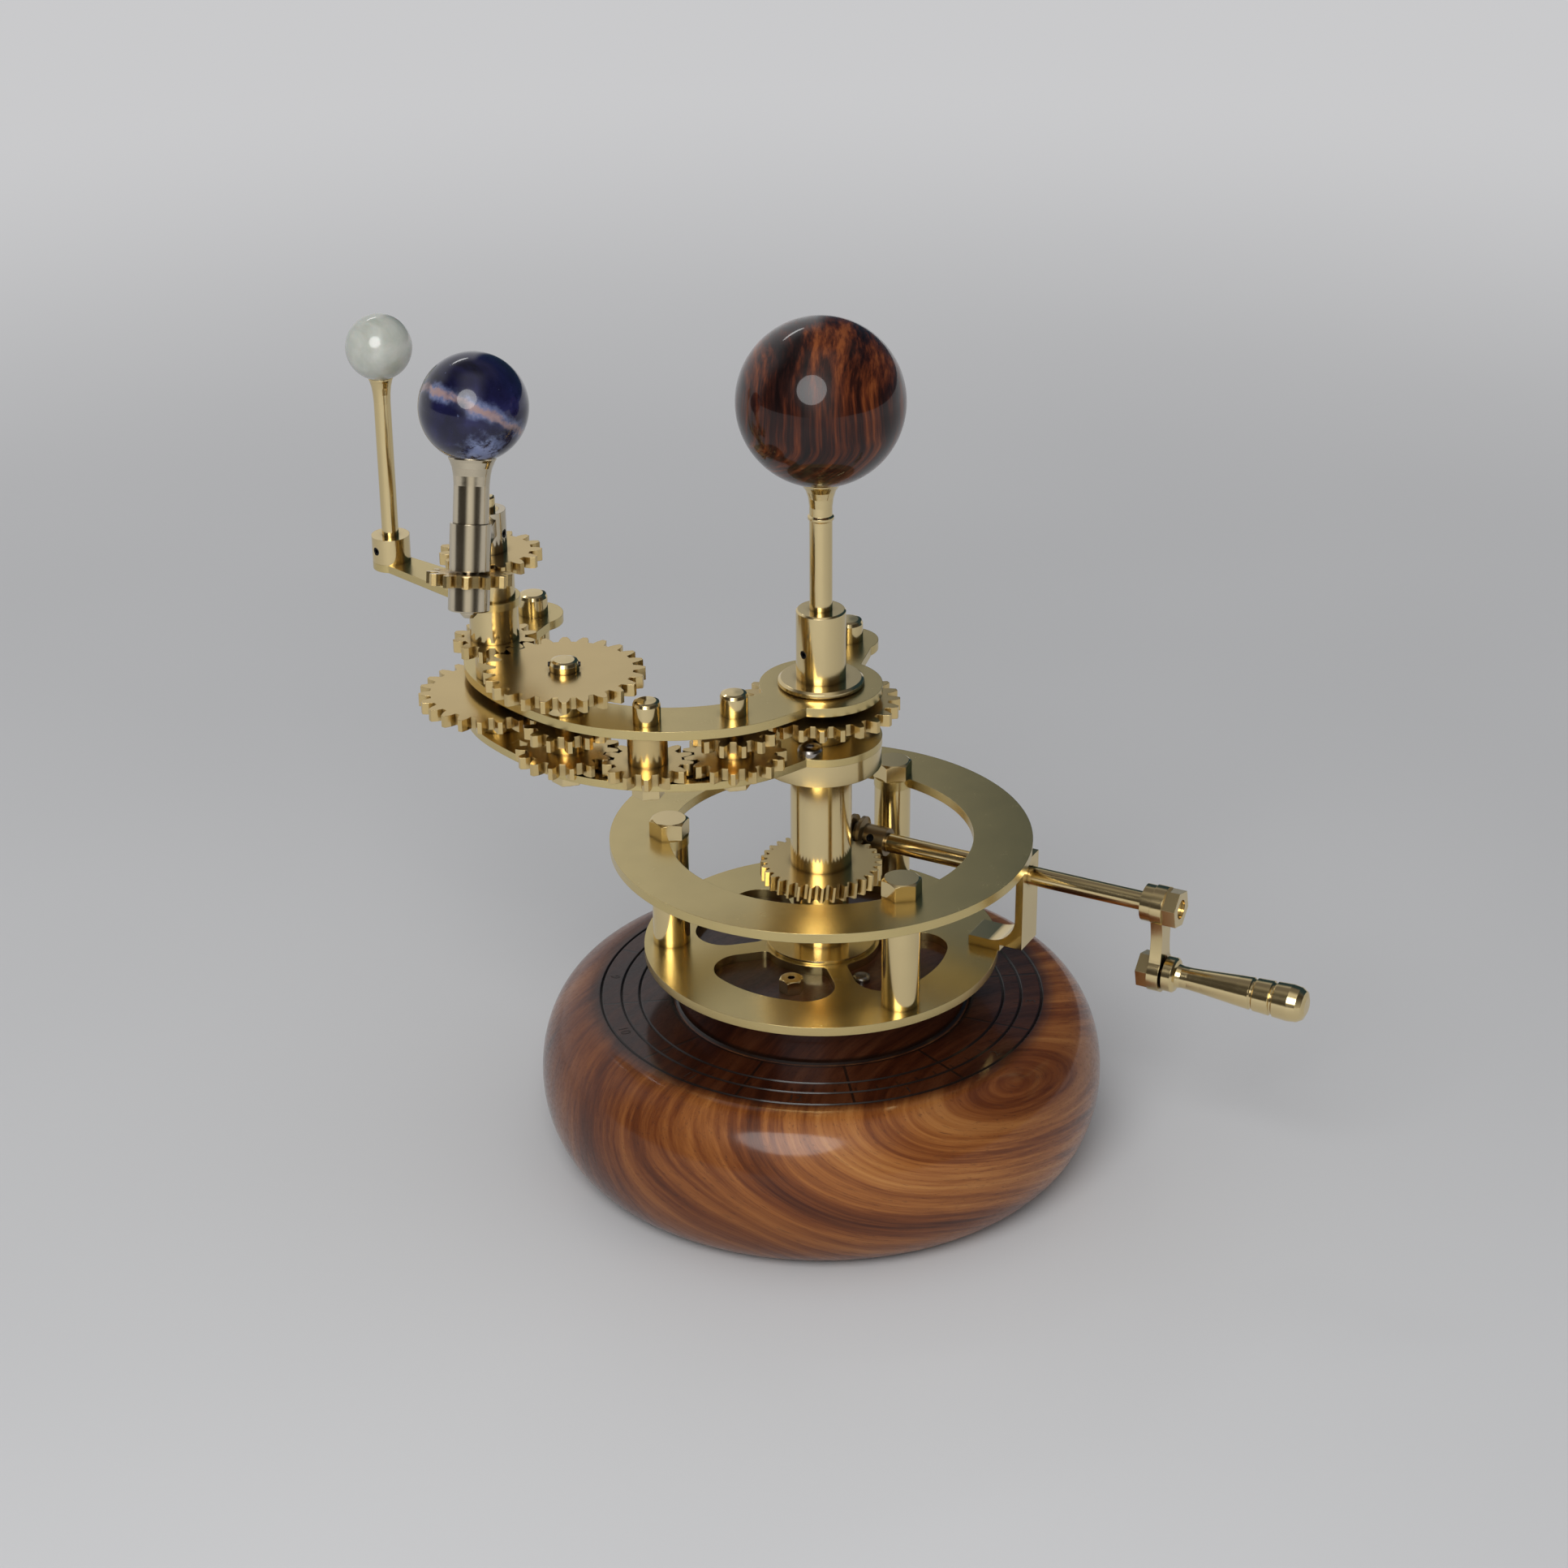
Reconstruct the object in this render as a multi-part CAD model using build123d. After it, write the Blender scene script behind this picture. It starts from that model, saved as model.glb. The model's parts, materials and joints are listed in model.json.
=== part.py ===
from build123d import *
import math
import os

os.makedirs("parts", exist_ok=True)

# Desk orrery: a crank and worm turn a geared arm that carries the Earth and the Moon round the Sun.
# Origin at the centre of the underside of the wooden base, +Z up, the front faces -Y, sizes in mm.

# Clearances
RUN = 0.05          # radial and axial clearance where one piece turns on another
FIT = 0.02          # radial clearance where a piece is held on its seat

# Wooden base with a raised boss under the lower plate
BASE_HEIGHT = 40.85
BASE_FLAT_RADIUS = 58.5
BASE_BULGE = 12.6
BOSS_RADIUS = 36.5
BOSS_HEIGHT = 12.15
GROOVE_RADII = (46.0, 50.5, 55.7)
GROOVE_WIDTH = 0.7
GROOVE_DEPTH = 0.35
FOOT_GROOVE_WIDTH = 1.6
FIXING_NUT_AT = (-7.6, -22.0)
FIXING_NUT_CORNER = 3.1
FIXING_NUT_HEIGHT = 3.6
FIXING_SCREW_AT = (9.7, -17.2)
FIXING_SCREW_HEAD = 2.2
FIXING_STUD_RADIUS = 1.5
FIXING_DEPTH = 7.0

# Lower plate with four rounded openings
PLATE_RADIUS = 44.4
PLATE_THICKNESS = 2.3
PLATE_RIM = 12.4
OPENING_COUNT = 4
OPENING_INNER = 14.6
OPENING_CORNER = 7.5
OPENING_INNER_CORNER = 2.0
SPOKE_WIDTH = 5.2
SPOKE_AZIMUTH = -76.0

# Pillars, upper ring and its bolts
PILLAR_INSET = 6.9
PILLAR_AZIMUTHS = (-60.0, 60.0, 180.0)
PILLAR_RADIUS = 4.65
PILLAR_HEIGHT = 27.4
RING_THICKNESS = 2.42
RING_WIDTH = 14.6
RING_OUTER = 52.3
RING_EAR_RADIUS = 4.8
BOLT_CORNER_RADIUS = 5.0
BOLT_HEAD_HEIGHT = 4.4
BOLT_SHANK_RADIUS = 2.4
BOLT_DEPTH = 9.0

# Central arbor, bush and turning column
ARBOR_RADIUS = 3.5
ARBOR_DEPTH = 9.0
BUSH_FLANGE_RADIUS = 13.7
BUSH_FLANGE_THICKNESS = 1.0
BUSH_RADIUS = 6.9
BUSH_HEIGHT = 18.1
WHEEL_THICKNESS = 4.06
COLUMN_RADIUS = 7.56
COLUMN_HEIGHT = 27.29
COLUMN_SPIGOT_RADIUS = 5.4
FLANGE_RADIUS = 14.8
FLANGE_THICKNESS = 5.44

# Arm plates, their posts and screws
ARM_THICKNESS = 1.96
ARM_UPPER_THICKNESS = 2.27
ARM_HUB_RADIUS = 14.95
ARM_HALF_WIDTH = 6.9
POST_LOBE_RADIUS = 7.6
POST_1 = (7.05, 26.5)
POST_2_FROM_STATION = (6.4, 38.3)
POST_RADIUS = 3.9
POST_CAP_RADIUS = 3.75
CAP_HEIGHT = 5.6
CAP_STUD_LENGTH = 6.0
ARM_SCREW_INSET = 3.2
ARM_SCREW_AZIMUTHS = (-104.0, 16.0, 136.0)
ARM_SCREW_HEAD = 3.05
ARM_SCREW_HEAD_HEIGHT = 2.1
ARM_SCREW_SHANK = 1.5
ARM_SCREW_DEPTH = 3.8

# Gear teeth
MODULE = 1.5
ADDENDUM = 0.8 * MODULE
DEDENDUM = 1.07 * MODULE
PRESSURE_ANGLE = math.radians(25)
BACKLASH = 0.14
TILT_ADDENDUM = 0.7 * MODULE
TILT_BACKLASH = 0.44
CENTRAL_TEETH = 24
PINION_TEETH = 12
COMPOUND_TEETH = 15
IDLER_TEETH = 13
STATION_TEETH = 24
TOP_TEETH = 24
GEAR_WIDTH = 3.0

# Gear arbors on the arm: azimuth of each one seen from the one before it, and what stands on it
PIN_AZIMUTHS = (-140.5, -167.8, 158.5)
STATION_AZIMUTH = 131.85
PIN_RADIUS = 2.0
SLEEVE_RADIUS = 3.2
HUB_1_RADIUS = 4.6
HUB_2_RADIUS = 4.83
HUB_3_RADIUS = 4.9
BUSH_3_RADIUS = 5.4
CENTRAL_HUB_RADIUS = 7.4
PIN_CAP_RADIUS = 3.36
PIN_3_CAP_RADIUS = 3.55
PIN_3_CAP_HEIGHT = 2.6
CROSS_PIN_RADIUS = 0.6
NUT_ACROSS_FLATS = 7.0
NUT_HEIGHT = 3.3
GEAR_LIFT = 0.5
SHOULDER_HEIGHT = 3.0
UPPER_GAP = 1.85
TOP_GEAR_LIFT = 7.23

# Worm and worm wheel
WORM_MODULE = 0.9
WHEEL_TEETH = 32
WORM_PITCH_RADIUS = 4.6
WORM_ADDENDUM = 0.73 * WORM_MODULE
WORM_DEDENDUM = 1.05 * WORM_MODULE
WORM_FLANK_ANGLE = math.radians(20)
WORM_BACKLASH = 0.2
WORM_START = -6.6
WORM_END = 3.6
WORM_HUB_LENGTH = 5.6
WORM_HUB_RADIUS = 3.6
WHEEL_ADDENDUM = 0.8 * WORM_MODULE
WHEEL_DEDENDUM = 1.1 * WORM_MODULE
SHAFT_RISE = 2.6
SHAFT_AZIMUTH = -27.8

# Crank and its bearings, distances along the shaft from the point nearest to the main axis
SHAFT_RADIUS = 2.4
SHAFT_TAIL = 1.0
BEARING_GAP = 0.3
BEARING_THICKNESS = 3.7
BEARING_WALL = 0.6
BRACKET_THICKNESS = 2.0
BRACKET_END = 48.45
BRACKET_WIDTH = 9.0
BRACKET_HEAD = 5.0
BRACKET_FOOT_START = 34.0
BRACKET_FOOT_THICKNESS = 2.6
BRACKET_STEP_START = 42.5
BRACKET_STEP = 1.7
BRACKET_CURVE = 7.0
CRANK_COLLAR_START = 78.9
CRANK_COLLAR_LENGTH = 2.7
CRANK_COLLAR_RADIUS = 4.6
CRANK_ARM_THICKNESS = 3.0
CRANK_RADIUS = 18.3
CRANK_END_RADIUS = 4.9
CRANK_WAIST = 2.6
CRANK_NUT_CORNER = 4.9
CRANK_NUT_HEIGHT = 3.5
HANDLE_SCREW_CORNER = 4.7
HANDLE_SCREW_HEAD = 3.0
HANDLE_PIN_RADIUS = 1.6
HANDLE_LENGTH = 36.4
HANDLE_GAP = 0.3

# Sun
SUN_RADIUS = 20.0
SUN_RISE = 52.08
SUN_WASHER_RADIUS = 10.5
SUN_WASHER_THICKNESS = 1.73
SUN_COLLAR_RADIUS = 6.04
SUN_COLLAR_HEIGHT = 17.72
SUN_SEAT_DEPTH = 6.0
SUN_SCREW_HEIGHT = 7.45
SUN_STEM_RADIUS = 2.75
SUN_CUP_RADIUS = 5.2
SUN_BEAD_DROP = 9.3

# Moon carrier on the station axis
ROD_RADIUS = 2.4
ROD_ABOVE_GEAR = 12.2
MOON_SLEEVE_RADIUS = 3.6
MOON_SPACER_RADIUS = 5.0
MOON_TUBE_RADIUS = 5.95
MOON_TUBE_HEIGHT = 8.85
MOON_ARM_THICKNESS = 1.95
MOON_ARM_LENGTH = 35.6
MOON_AZIMUTH = 138.7
MOON_EYE_RADIUS = 6.6
MOON_UPPER_TUBE_RADIUS = 5.4
MOON_UPPER_TUBE_HEIGHT = 9.05
MOON_GEAR_WIDTH = 2.75
MOON_BOSS_RADIUS = 4.7
MOON_BOSS_HEIGHT = 6.5
MOON_SCREW_HEIGHT = 3.2
MOON_STEM_RADIUS = 2.05
MOON_CUP_RADIUS = 3.0
MOON_RADIUS = 8.05
MOON_RISE = 48.2

# Tilted Earth spindle, distances along it from the middle of its gear
TILT_AXIS = (0.047, 0.266, 0.963)
SPINDLE_AZIMUTH = -99.8
SPINDLE_RISE = 1.9
SPINDLE_GEAR_WIDTH = 2.8
SPINDLE_SHAFT_RADIUS = 2.3
SPINDLE_HUB_RADIUS = 4.9
SPINDLE_HUB_END = -7.6
SPINDLE_TIP_END = -9.4
BRACKET_SLEEVE_RADIUS = 4.85
BRACKET_SLEEVE_START = 2.0
BRACKET_SLEEVE_END = 13.0
BRACKET_COLLAR_RADIUS = 4.0
BRACKET_COLLAR_HEIGHT = 10.25
BRACKET_BAR_LIFT = 4.75
BRACKET_BAR_HEIGHT = 4.0
BRACKET_BAR_WIDTH = 5.0
EARTH_RADIUS = 12.9
EARTH_DISTANCE = 40.0
EARTH_STEM_RADIUS = 4.2
EARTH_CUP_RADIUS = 5.6

# Set screws, and the spigots that carry the balls
SET_SCREW_RADIUS = 1.0
SPIGOT_RADIUS = 1.6
SPIGOT_LENGTH = 8.0

# Levels, from the table up
BOSS_TOP = BASE_HEIGHT + BOSS_HEIGHT
PLATE_TOP = BOSS_TOP + PLATE_THICKNESS
RING_BOTTOM = PLATE_TOP + PILLAR_HEIGHT
RING_TOP = RING_BOTTOM + RING_THICKNESS
WHEEL_BOTTOM = PLATE_TOP + BUSH_HEIGHT
WHEEL_TOP = WHEEL_BOTTOM + WHEEL_THICKNESS
SHAFT_Z = WHEEL_BOTTOM + SHAFT_RISE
FLANGE_BOTTOM = WHEEL_TOP + COLUMN_HEIGHT
ARM_BOTTOM = FLANGE_BOTTOM + FLANGE_THICKNESS
ARM_LOWER_TOP = ARM_BOTTOM + ARM_THICKNESS
LOWER_GEARS = ARM_LOWER_TOP + GEAR_LIFT
LOWER_GEARS_TOP = LOWER_GEARS + GEAR_WIDTH
UPPER_GEARS = LOWER_GEARS_TOP + SHOULDER_HEIGHT
UPPER_GEARS_TOP = UPPER_GEARS + GEAR_WIDTH
ARM_UPPER_BOTTOM = UPPER_GEARS_TOP + UPPER_GAP
ARM_UPPER_TOP = ARM_UPPER_BOTTOM + ARM_UPPER_THICKNESS
TOP_GEARS = ARM_UPPER_TOP + TOP_GEAR_LIFT
TOP_GEARS_TOP = TOP_GEARS + GEAR_WIDTH
MOON_ARM_BOTTOM = TOP_GEARS_TOP + MOON_TUBE_HEIGHT
MOON_ARM_TOP = MOON_ARM_BOTTOM + MOON_ARM_THICKNESS
MOON_GEAR_BOTTOM = MOON_ARM_TOP + MOON_UPPER_TUBE_HEIGHT
MOON_GEAR_TOP = MOON_GEAR_BOTTOM + MOON_GEAR_WIDTH
MOON_BOSS_TOP = MOON_ARM_TOP + MOON_BOSS_HEIGHT
MOON_Z = MOON_BOSS_TOP + MOON_RISE
SPINDLE_Z = (MOON_GEAR_BOTTOM + MOON_GEAR_TOP) / 2 + SPINDLE_RISE
SUN_WASHER_BOTTOM = ARM_UPPER_TOP + RUN
SUN_WASHER_TOP = SUN_WASHER_BOTTOM + SUN_WASHER_THICKNESS
SUN_COLLAR_TOP = SUN_WASHER_TOP + SUN_COLLAR_HEIGHT
SUN_SEAT = SUN_COLLAR_TOP - SUN_SEAT_DEPTH
SUN_Z = SUN_COLLAR_TOP + SUN_RISE


def polar(radius, azimuth):
    angle = math.radians(azimuth)
    return radius * math.cos(angle), radius * math.sin(angle)


def shifted(point, offset):
    return point[0] + offset[0], point[1] + offset[1]


def disc(radius, low, high, at=(0, 0)):
    body = Cylinder(radius, high - low, align=(Align.CENTER, Align.CENTER, Align.MIN))
    return Pos(at[0], at[1], low) * body


def tube(outer, inner, low, high, at=(0, 0)):
    return disc(outer, low, high, at) - disc(inner, low - 1, high + 1, at)


def turned(points, at=(0, 0)):
    face = make_face(Plane.XZ * Polyline(*points, close=True))
    return Pos(at[0], at[1], 0) * revolve(face, Axis.Z, 360)


def hexagon(corner_radius, low, high, at=(0, 0), turn=0):
    face = Rot(0, 0, turn) * RegularPolygon(corner_radius, 6)
    return Pos(at[0], at[1], low) * extrude(face, high - low)


def hex_head(corner_radius, low, high, at=(0, 0), turn=0):
    flat = corner_radius * 0.82
    rise = (corner_radius - flat) * 0.6
    shape = [(0, low), (corner_radius, low), (corner_radius, high - rise), (flat, high), (0, high)]
    return hexagon(corner_radius, low, high, at, turn) & turned(shape, at)


def domed_cap(radius, low, high, at=(0, 0)):
    rim = min(0.3 * radius, 0.6 * (high - low))
    shape = [(0, low), (radius, low), (radius, high - rim), (radius - 0.3 * rim, high - 0.3 * rim)]
    shape += [(radius - rim, high - 0.08 * rim), (0, high)]
    return turned(shape, at)


def group(solids):
    return Compound(children=list(solids))


def save(name, shape):
    export_step(shape, f"parts/{name}.step")


# Places of the gear arbors: each one stands where its gears mesh with those before it
def mesh_distance(teeth_a, teeth_b):
    return MODULE * (teeth_a + teeth_b) / 2


PIN_1 = polar(mesh_distance(CENTRAL_TEETH, PINION_TEETH), PIN_AZIMUTHS[0])
PIN_2 = shifted(PIN_1, polar(mesh_distance(COMPOUND_TEETH, IDLER_TEETH), PIN_AZIMUTHS[1]))
PIN_3 = shifted(PIN_2, polar(mesh_distance(IDLER_TEETH, COMPOUND_TEETH), PIN_AZIMUTHS[2]))
STATION = shifted(PIN_3, polar(mesh_distance(PINION_TEETH, STATION_TEETH), STATION_AZIMUTH))
POST_2 = shifted(STATION, POST_2_FROM_STATION)


# Spur gear outline: stub involute teeth, one tooth centred on the azimuth "turn"
def involute(angle):
    return math.tan(angle) - angle


def tooth_widths(teeth, module, addendum, dedendum, play):
    pitch = teeth * module / 2
    root = pitch - dedendum
    base = pitch * math.cos(PRESSURE_ANGLE)
    start = max(base, root)
    half = (math.pi * module - play) / (4 * pitch)
    widths = [] if start == root else [(root, half + involute(PRESSURE_ANGLE))]
    for step in range(3):
        radius = start + (pitch + addendum - start) * step / 2
        roll = involute(math.acos(base / radius))
        widths.append((radius, half + involute(PRESSURE_ANGLE) - roll))
    return widths


def gear_outline(teeth, turn=0.0, module=MODULE, addendum=ADDENDUM, dedendum=DEDENDUM, play=BACKLASH):
    widths = tooth_widths(teeth, module, addendum, dedendum, play)
    points = []
    for index in range(teeth):
        centre = math.radians(turn) + 2 * math.pi * index / teeth
        sides = [(radius, centre - width) for radius, width in widths]
        sides += [(radius, centre + width) for radius, width in reversed(widths)]
        points += [(radius * math.cos(angle), radius * math.sin(angle)) for radius, angle in sides]
    return points


def gear(teeth, bore, low, high, at=(0, 0), turn=0.0, **teeth_form):
    face = make_face(Polyline(*gear_outline(teeth, turn, **teeth_form), close=True)) - Circle(bore)
    return Pos(at[0], at[1], low) * extrude(face, high - low)


# Azimuth of a tooth of gear B that meshes with gear A, which has a tooth at turn_a
def meshing_turn(a, b, teeth_a, teeth_b, turn_a):
    line = math.degrees(math.atan2(b[1] - a[1], b[0] - a[0]))
    return line + 180 + 180 / teeth_b - (turn_a - line) * teeth_a / teeth_b


# Hole for a set screw through a collar wall, and the screw in it with its socket
def set_screw(place, inner, outer):
    socket_depth = (outer - inner) / 2
    hole = place * disc(SET_SCREW_RADIUS + FIT, inner - 0.4, outer + 2)
    socket = place * hexagon(0.6 * SET_SCREW_RADIUS, outer - socket_depth, outer + 1)
    screw = place * disc(SET_SCREW_RADIUS, inner, outer - 0.15) - socket
    return hole, screw


def level_place(at, height, azimuth):
    return Plane(origin=(at[0], at[1], height), z_dir=(*polar(1, azimuth), 0)).location


# Wooden base: rounded side, flat top with turned grooves, raised boss under the plate
def groove(radius, width, depth):
    shape = [(radius - width / 2, BASE_HEIGHT + 0.01), (radius, BASE_HEIGHT - depth)]
    return turned(shape + [(radius + width / 2, BASE_HEIGHT + 0.01)])


def wooden_base():
    middle = BASE_HEIGHT / 2
    side = EllipticalCenterArc((BASE_FLAT_RADIUS, middle), BASE_BULGE, middle, start_angle=-90, arc_size=180)
    top = Polyline(
        (BASE_FLAT_RADIUS, BASE_HEIGHT),
        (BOSS_RADIUS, BASE_HEIGHT),
        (BOSS_RADIUS, BOSS_TOP),
        (0, BOSS_TOP),
        (0, 0),
        (BASE_FLAT_RADIUS, 0),
    )
    body = revolve(make_face(Plane.XZ * (side + top)), Axis.Z, 360)
    for radius in GROOVE_RADII:
        body -= groove(radius, GROOVE_WIDTH, GROOVE_DEPTH)
    body -= groove(BOSS_RADIUS + FOOT_GROOVE_WIDTH / 2, FOOT_GROOVE_WIDTH, GROOVE_DEPTH * 2)
    body -= disc(ARBOR_RADIUS + FIT, BOSS_TOP - ARBOR_DEPTH, BOSS_TOP + 1)
    for place in (FIXING_NUT_AT, FIXING_SCREW_AT):
        body -= disc(FIXING_STUD_RADIUS + FIT, BOSS_TOP - FIXING_DEPTH, BOSS_TOP + 1, place)
    return body


save("wooden_base", wooden_base())

# Nut and screw that stand on the boss inside the plate's openings
fixing_foot = BOSS_TOP - FIXING_DEPTH + RUN
fixing_nut = hex_head(FIXING_NUT_CORNER, BOSS_TOP, BOSS_TOP + FIXING_NUT_HEIGHT, FIXING_NUT_AT, 12)
fixing_nut -= disc(0.6 * FIXING_STUD_RADIUS, BOSS_TOP + FIXING_NUT_HEIGHT / 2, BOSS_TOP + 9, FIXING_NUT_AT)
fixing_nut += disc(FIXING_STUD_RADIUS, fixing_foot, BOSS_TOP, FIXING_NUT_AT)
save("fixing_nut", fixing_nut)

fixing_screw = domed_cap(FIXING_SCREW_HEAD, BOSS_TOP, BOSS_TOP + 0.7 * FIXING_SCREW_HEAD, FIXING_SCREW_AT)
save("fixing_screw", fixing_screw + disc(FIXING_STUD_RADIUS, fixing_foot, BOSS_TOP, FIXING_SCREW_AT))


# Lower plate
def plate_opening(index):
    azimuth = SPOKE_AZIMUTH + (index + 0.5) * 360 / OPENING_COUNT
    outer = PLATE_RADIUS - PLATE_RIM
    reach = outer * 2
    quadrant = Pos(reach / 2, reach / 2) * Rectangle(reach, reach)
    quadrant = Pos(SPOKE_WIDTH / 2, SPOKE_WIDTH / 2) * quadrant
    sector = Rot(0, 0, azimuth - 45) * quadrant
    face = (Circle(outer) - Circle(OPENING_INNER)) & sector
    corners = sorted(face.vertices(), key=lambda v: math.hypot(v.X, v.Y))
    face = fillet(corners[2:], OPENING_CORNER)
    corners = sorted(face.vertices(), key=lambda v: math.hypot(v.X, v.Y))
    return fillet(corners[:2], OPENING_INNER_CORNER)


plate_face = Circle(PLATE_RADIUS) - Circle(ARBOR_RADIUS + FIT)
for index in range(OPENING_COUNT):
    plate_face -= plate_opening(index)
save("lower_plate", Pos(0, 0, BOSS_TOP) * extrude(plate_face, PLATE_THICKNESS))

# Pillars, ring with an ear over each pillar, and the hexagon bolts that hold it
pillar_circle = PLATE_RADIUS - PILLAR_INSET
pillar_places = [polar(pillar_circle, azimuth) for azimuth in PILLAR_AZIMUTHS]
pillars = []
bolts = []
ring = tube(RING_OUTER, RING_OUTER - RING_WIDTH, RING_BOTTOM, RING_TOP)
for place in pillar_places:
    bore = disc(BOLT_SHANK_RADIUS + FIT, RING_BOTTOM - BOLT_DEPTH - 0.5, RING_TOP + 1, place)
    pillars.append(disc(PILLAR_RADIUS, PLATE_TOP, RING_BOTTOM, place) - bore)
    head = hex_head(BOLT_CORNER_RADIUS, RING_TOP, RING_TOP + BOLT_HEAD_HEIGHT, place, 10)
    bolts.append(head + disc(BOLT_SHANK_RADIUS, RING_BOTTOM - BOLT_DEPTH, RING_TOP, place))
    ring += disc(RING_EAR_RADIUS, RING_BOTTOM, RING_TOP, place)
for place in pillar_places:
    ring -= disc(BOLT_SHANK_RADIUS + FIT, RING_BOTTOM - 1, RING_TOP + 1, place)
save("pillars", group(pillars))
save("pillar_bolts", group(bolts))
save("upper_ring", ring)

# Central bush that carries the turning column
bush_flange_top = PLATE_TOP + BUSH_FLANGE_THICKNESS
save("centre_bush", turned([
    (ARBOR_RADIUS + FIT, PLATE_TOP),
    (BUSH_FLANGE_RADIUS, PLATE_TOP),
    (BUSH_FLANGE_RADIUS, bush_flange_top),
    (BUSH_RADIUS, bush_flange_top),
    (BUSH_RADIUS, WHEEL_BOTTOM - RUN),
    (ARBOR_RADIUS + FIT, WHEEL_BOTTOM - RUN),
]))

# Central arbor, fixed gear and the Sun that stands on them
save("central_arbor", disc(ARBOR_RADIUS, BOSS_TOP - ARBOR_DEPTH + RUN, SUN_SEAT))

CENTRAL_TURN = 0.0
central_bore = ARBOR_RADIUS + FIT
central_gear = gear(CENTRAL_TEETH, central_bore, UPPER_GEARS, UPPER_GEARS_TOP, turn=CENTRAL_TURN)
central_gear += tube(CENTRAL_HUB_RADIUS, central_bore, ARM_LOWER_TOP + RUN, UPPER_GEARS)
save("fixed_central_gear", central_gear)

save("sun_washer", turned([
    (central_bore, SUN_WASHER_BOTTOM),
    (SUN_WASHER_RADIUS - 0.3, SUN_WASHER_BOTTOM),
    (SUN_WASHER_RADIUS, SUN_WASHER_BOTTOM + 0.25 * SUN_WASHER_THICKNESS),
    (SUN_WASHER_RADIUS - 0.1, SUN_WASHER_BOTTOM + 0.7 * SUN_WASHER_THICKNESS),
    (SUN_WASHER_RADIUS - 0.7, SUN_WASHER_TOP),
    (central_bore, SUN_WASHER_TOP),
]))

sun_screw_place = level_place((0, 0), SUN_WASHER_TOP + SUN_SCREW_HEIGHT, -136)
sun_hole, sun_set_screw = set_screw(sun_screw_place, central_bore, SUN_COLLAR_RADIUS)
sun_collar = disc(SUN_COLLAR_RADIUS, SUN_WASHER_TOP, SUN_COLLAR_TOP)
sun_collar = chamfer(sun_collar.edges().group_by(Axis.Z)[-1], 0.4)
sun_collar -= disc(central_bore, SUN_WASHER_TOP - 1, SUN_SEAT + RUN)
sun_collar -= disc(SUN_STEM_RADIUS + FIT, SUN_SEAT, SUN_COLLAR_TOP + 1)
sun_collar -= sun_hole
save("sun_collar", sun_collar)
save("sun_set_screw", sun_set_screw)


# Turned stem with a trumpet end that cups a ball, along +Z from the seat to the ball
def ball_stem(radius, seat, ball_z, ball_radius, cup_radius, bead_drop=None):
    rim = ball_z - math.sqrt(ball_radius ** 2 - cup_radius ** 2)
    flare = cup_radius - radius
    shape = [(0, seat), (radius, seat)]
    if bead_drop:
        bead = rim - bead_drop
        shape += [(radius, bead - 0.7), (radius + 0.4, bead - 0.3), (radius + 0.4, bead + 0.3), (radius, bead + 0.7)]
    shape += [(radius, rim - 6.5), (radius + 0.12 * flare, rim - 4.2), (radius + 0.36 * flare, rim - 2.4)]
    shape += [(radius + 0.75 * flare, rim - 1.0), (cup_radius, rim - 0.4), (cup_radius, rim), (0, rim)]
    stem = turned(shape) - Pos(0, 0, ball_z) * Sphere(ball_radius + FIT)
    return stem + disc(SPIGOT_RADIUS, rim - 3, ball_z - ball_radius + SPIGOT_LENGTH)


def ball(radius, centre_z):
    body = Pos(0, 0, centre_z) * Sphere(radius)
    return body - disc(SPIGOT_RADIUS + FIT, centre_z - radius - 1, centre_z - radius + SPIGOT_LENGTH + RUN)


save("sun_stem", ball_stem(SUN_STEM_RADIUS, SUN_SEAT + RUN, SUN_Z, SUN_RADIUS, SUN_CUP_RADIUS, SUN_BEAD_DROP))
save("sun_ball", ball(SUN_RADIUS, SUN_Z))

# Turning column with its worm wheel and top flange
save("column_tube", turned([
    (ARBOR_RADIUS + RUN, WHEEL_BOTTOM),
    (COLUMN_SPIGOT_RADIUS, WHEEL_BOTTOM),
    (COLUMN_SPIGOT_RADIUS, WHEEL_TOP),
    (COLUMN_RADIUS, WHEEL_TOP),
    (COLUMN_RADIUS, FLANGE_BOTTOM),
    (COLUMN_SPIGOT_RADIUS, FLANGE_BOTTOM),
    (COLUMN_SPIGOT_RADIUS, ARM_BOTTOM),
    (ARBOR_RADIUS + RUN, ARM_BOTTOM),
]))

# Frame of the crank shaft: local Z along the shaft, X down, origin nearest to the main axis
wheel_pitch = WORM_MODULE * WHEEL_TEETH / 2
shaft_side = polar(wheel_pitch + WORM_PITCH_RADIUS, SHAFT_AZIMUTH + 90)
shaft_dir = (*polar(1, SHAFT_AZIMUTH), 0)
shaft_frame = Plane(origin=(*shaft_side, SHAFT_Z), x_dir=(0, 0, -1), z_dir=shaft_dir).location

# Worm wheel: its teeth slant by the lead of the worm thread, a tooth space faces the worm
wheel_slant = math.degrees(WORM_MODULE / (2 * WORM_PITCH_RADIUS) / wheel_pitch)
wheel_form = dict(module=WORM_MODULE, addendum=WHEEL_ADDENDUM, dedendum=WHEEL_DEDENDUM, play=WORM_BACKLASH)


def wheel_face(height):
    turn = SHAFT_AZIMUTH + 90 + 180 / WHEEL_TEETH + wheel_slant * (height - SHAFT_Z)
    outline = Polyline(*gear_outline(WHEEL_TEETH, turn, **wheel_form), close=True)
    return Pos(0, 0, height) * make_face(outline)


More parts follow.
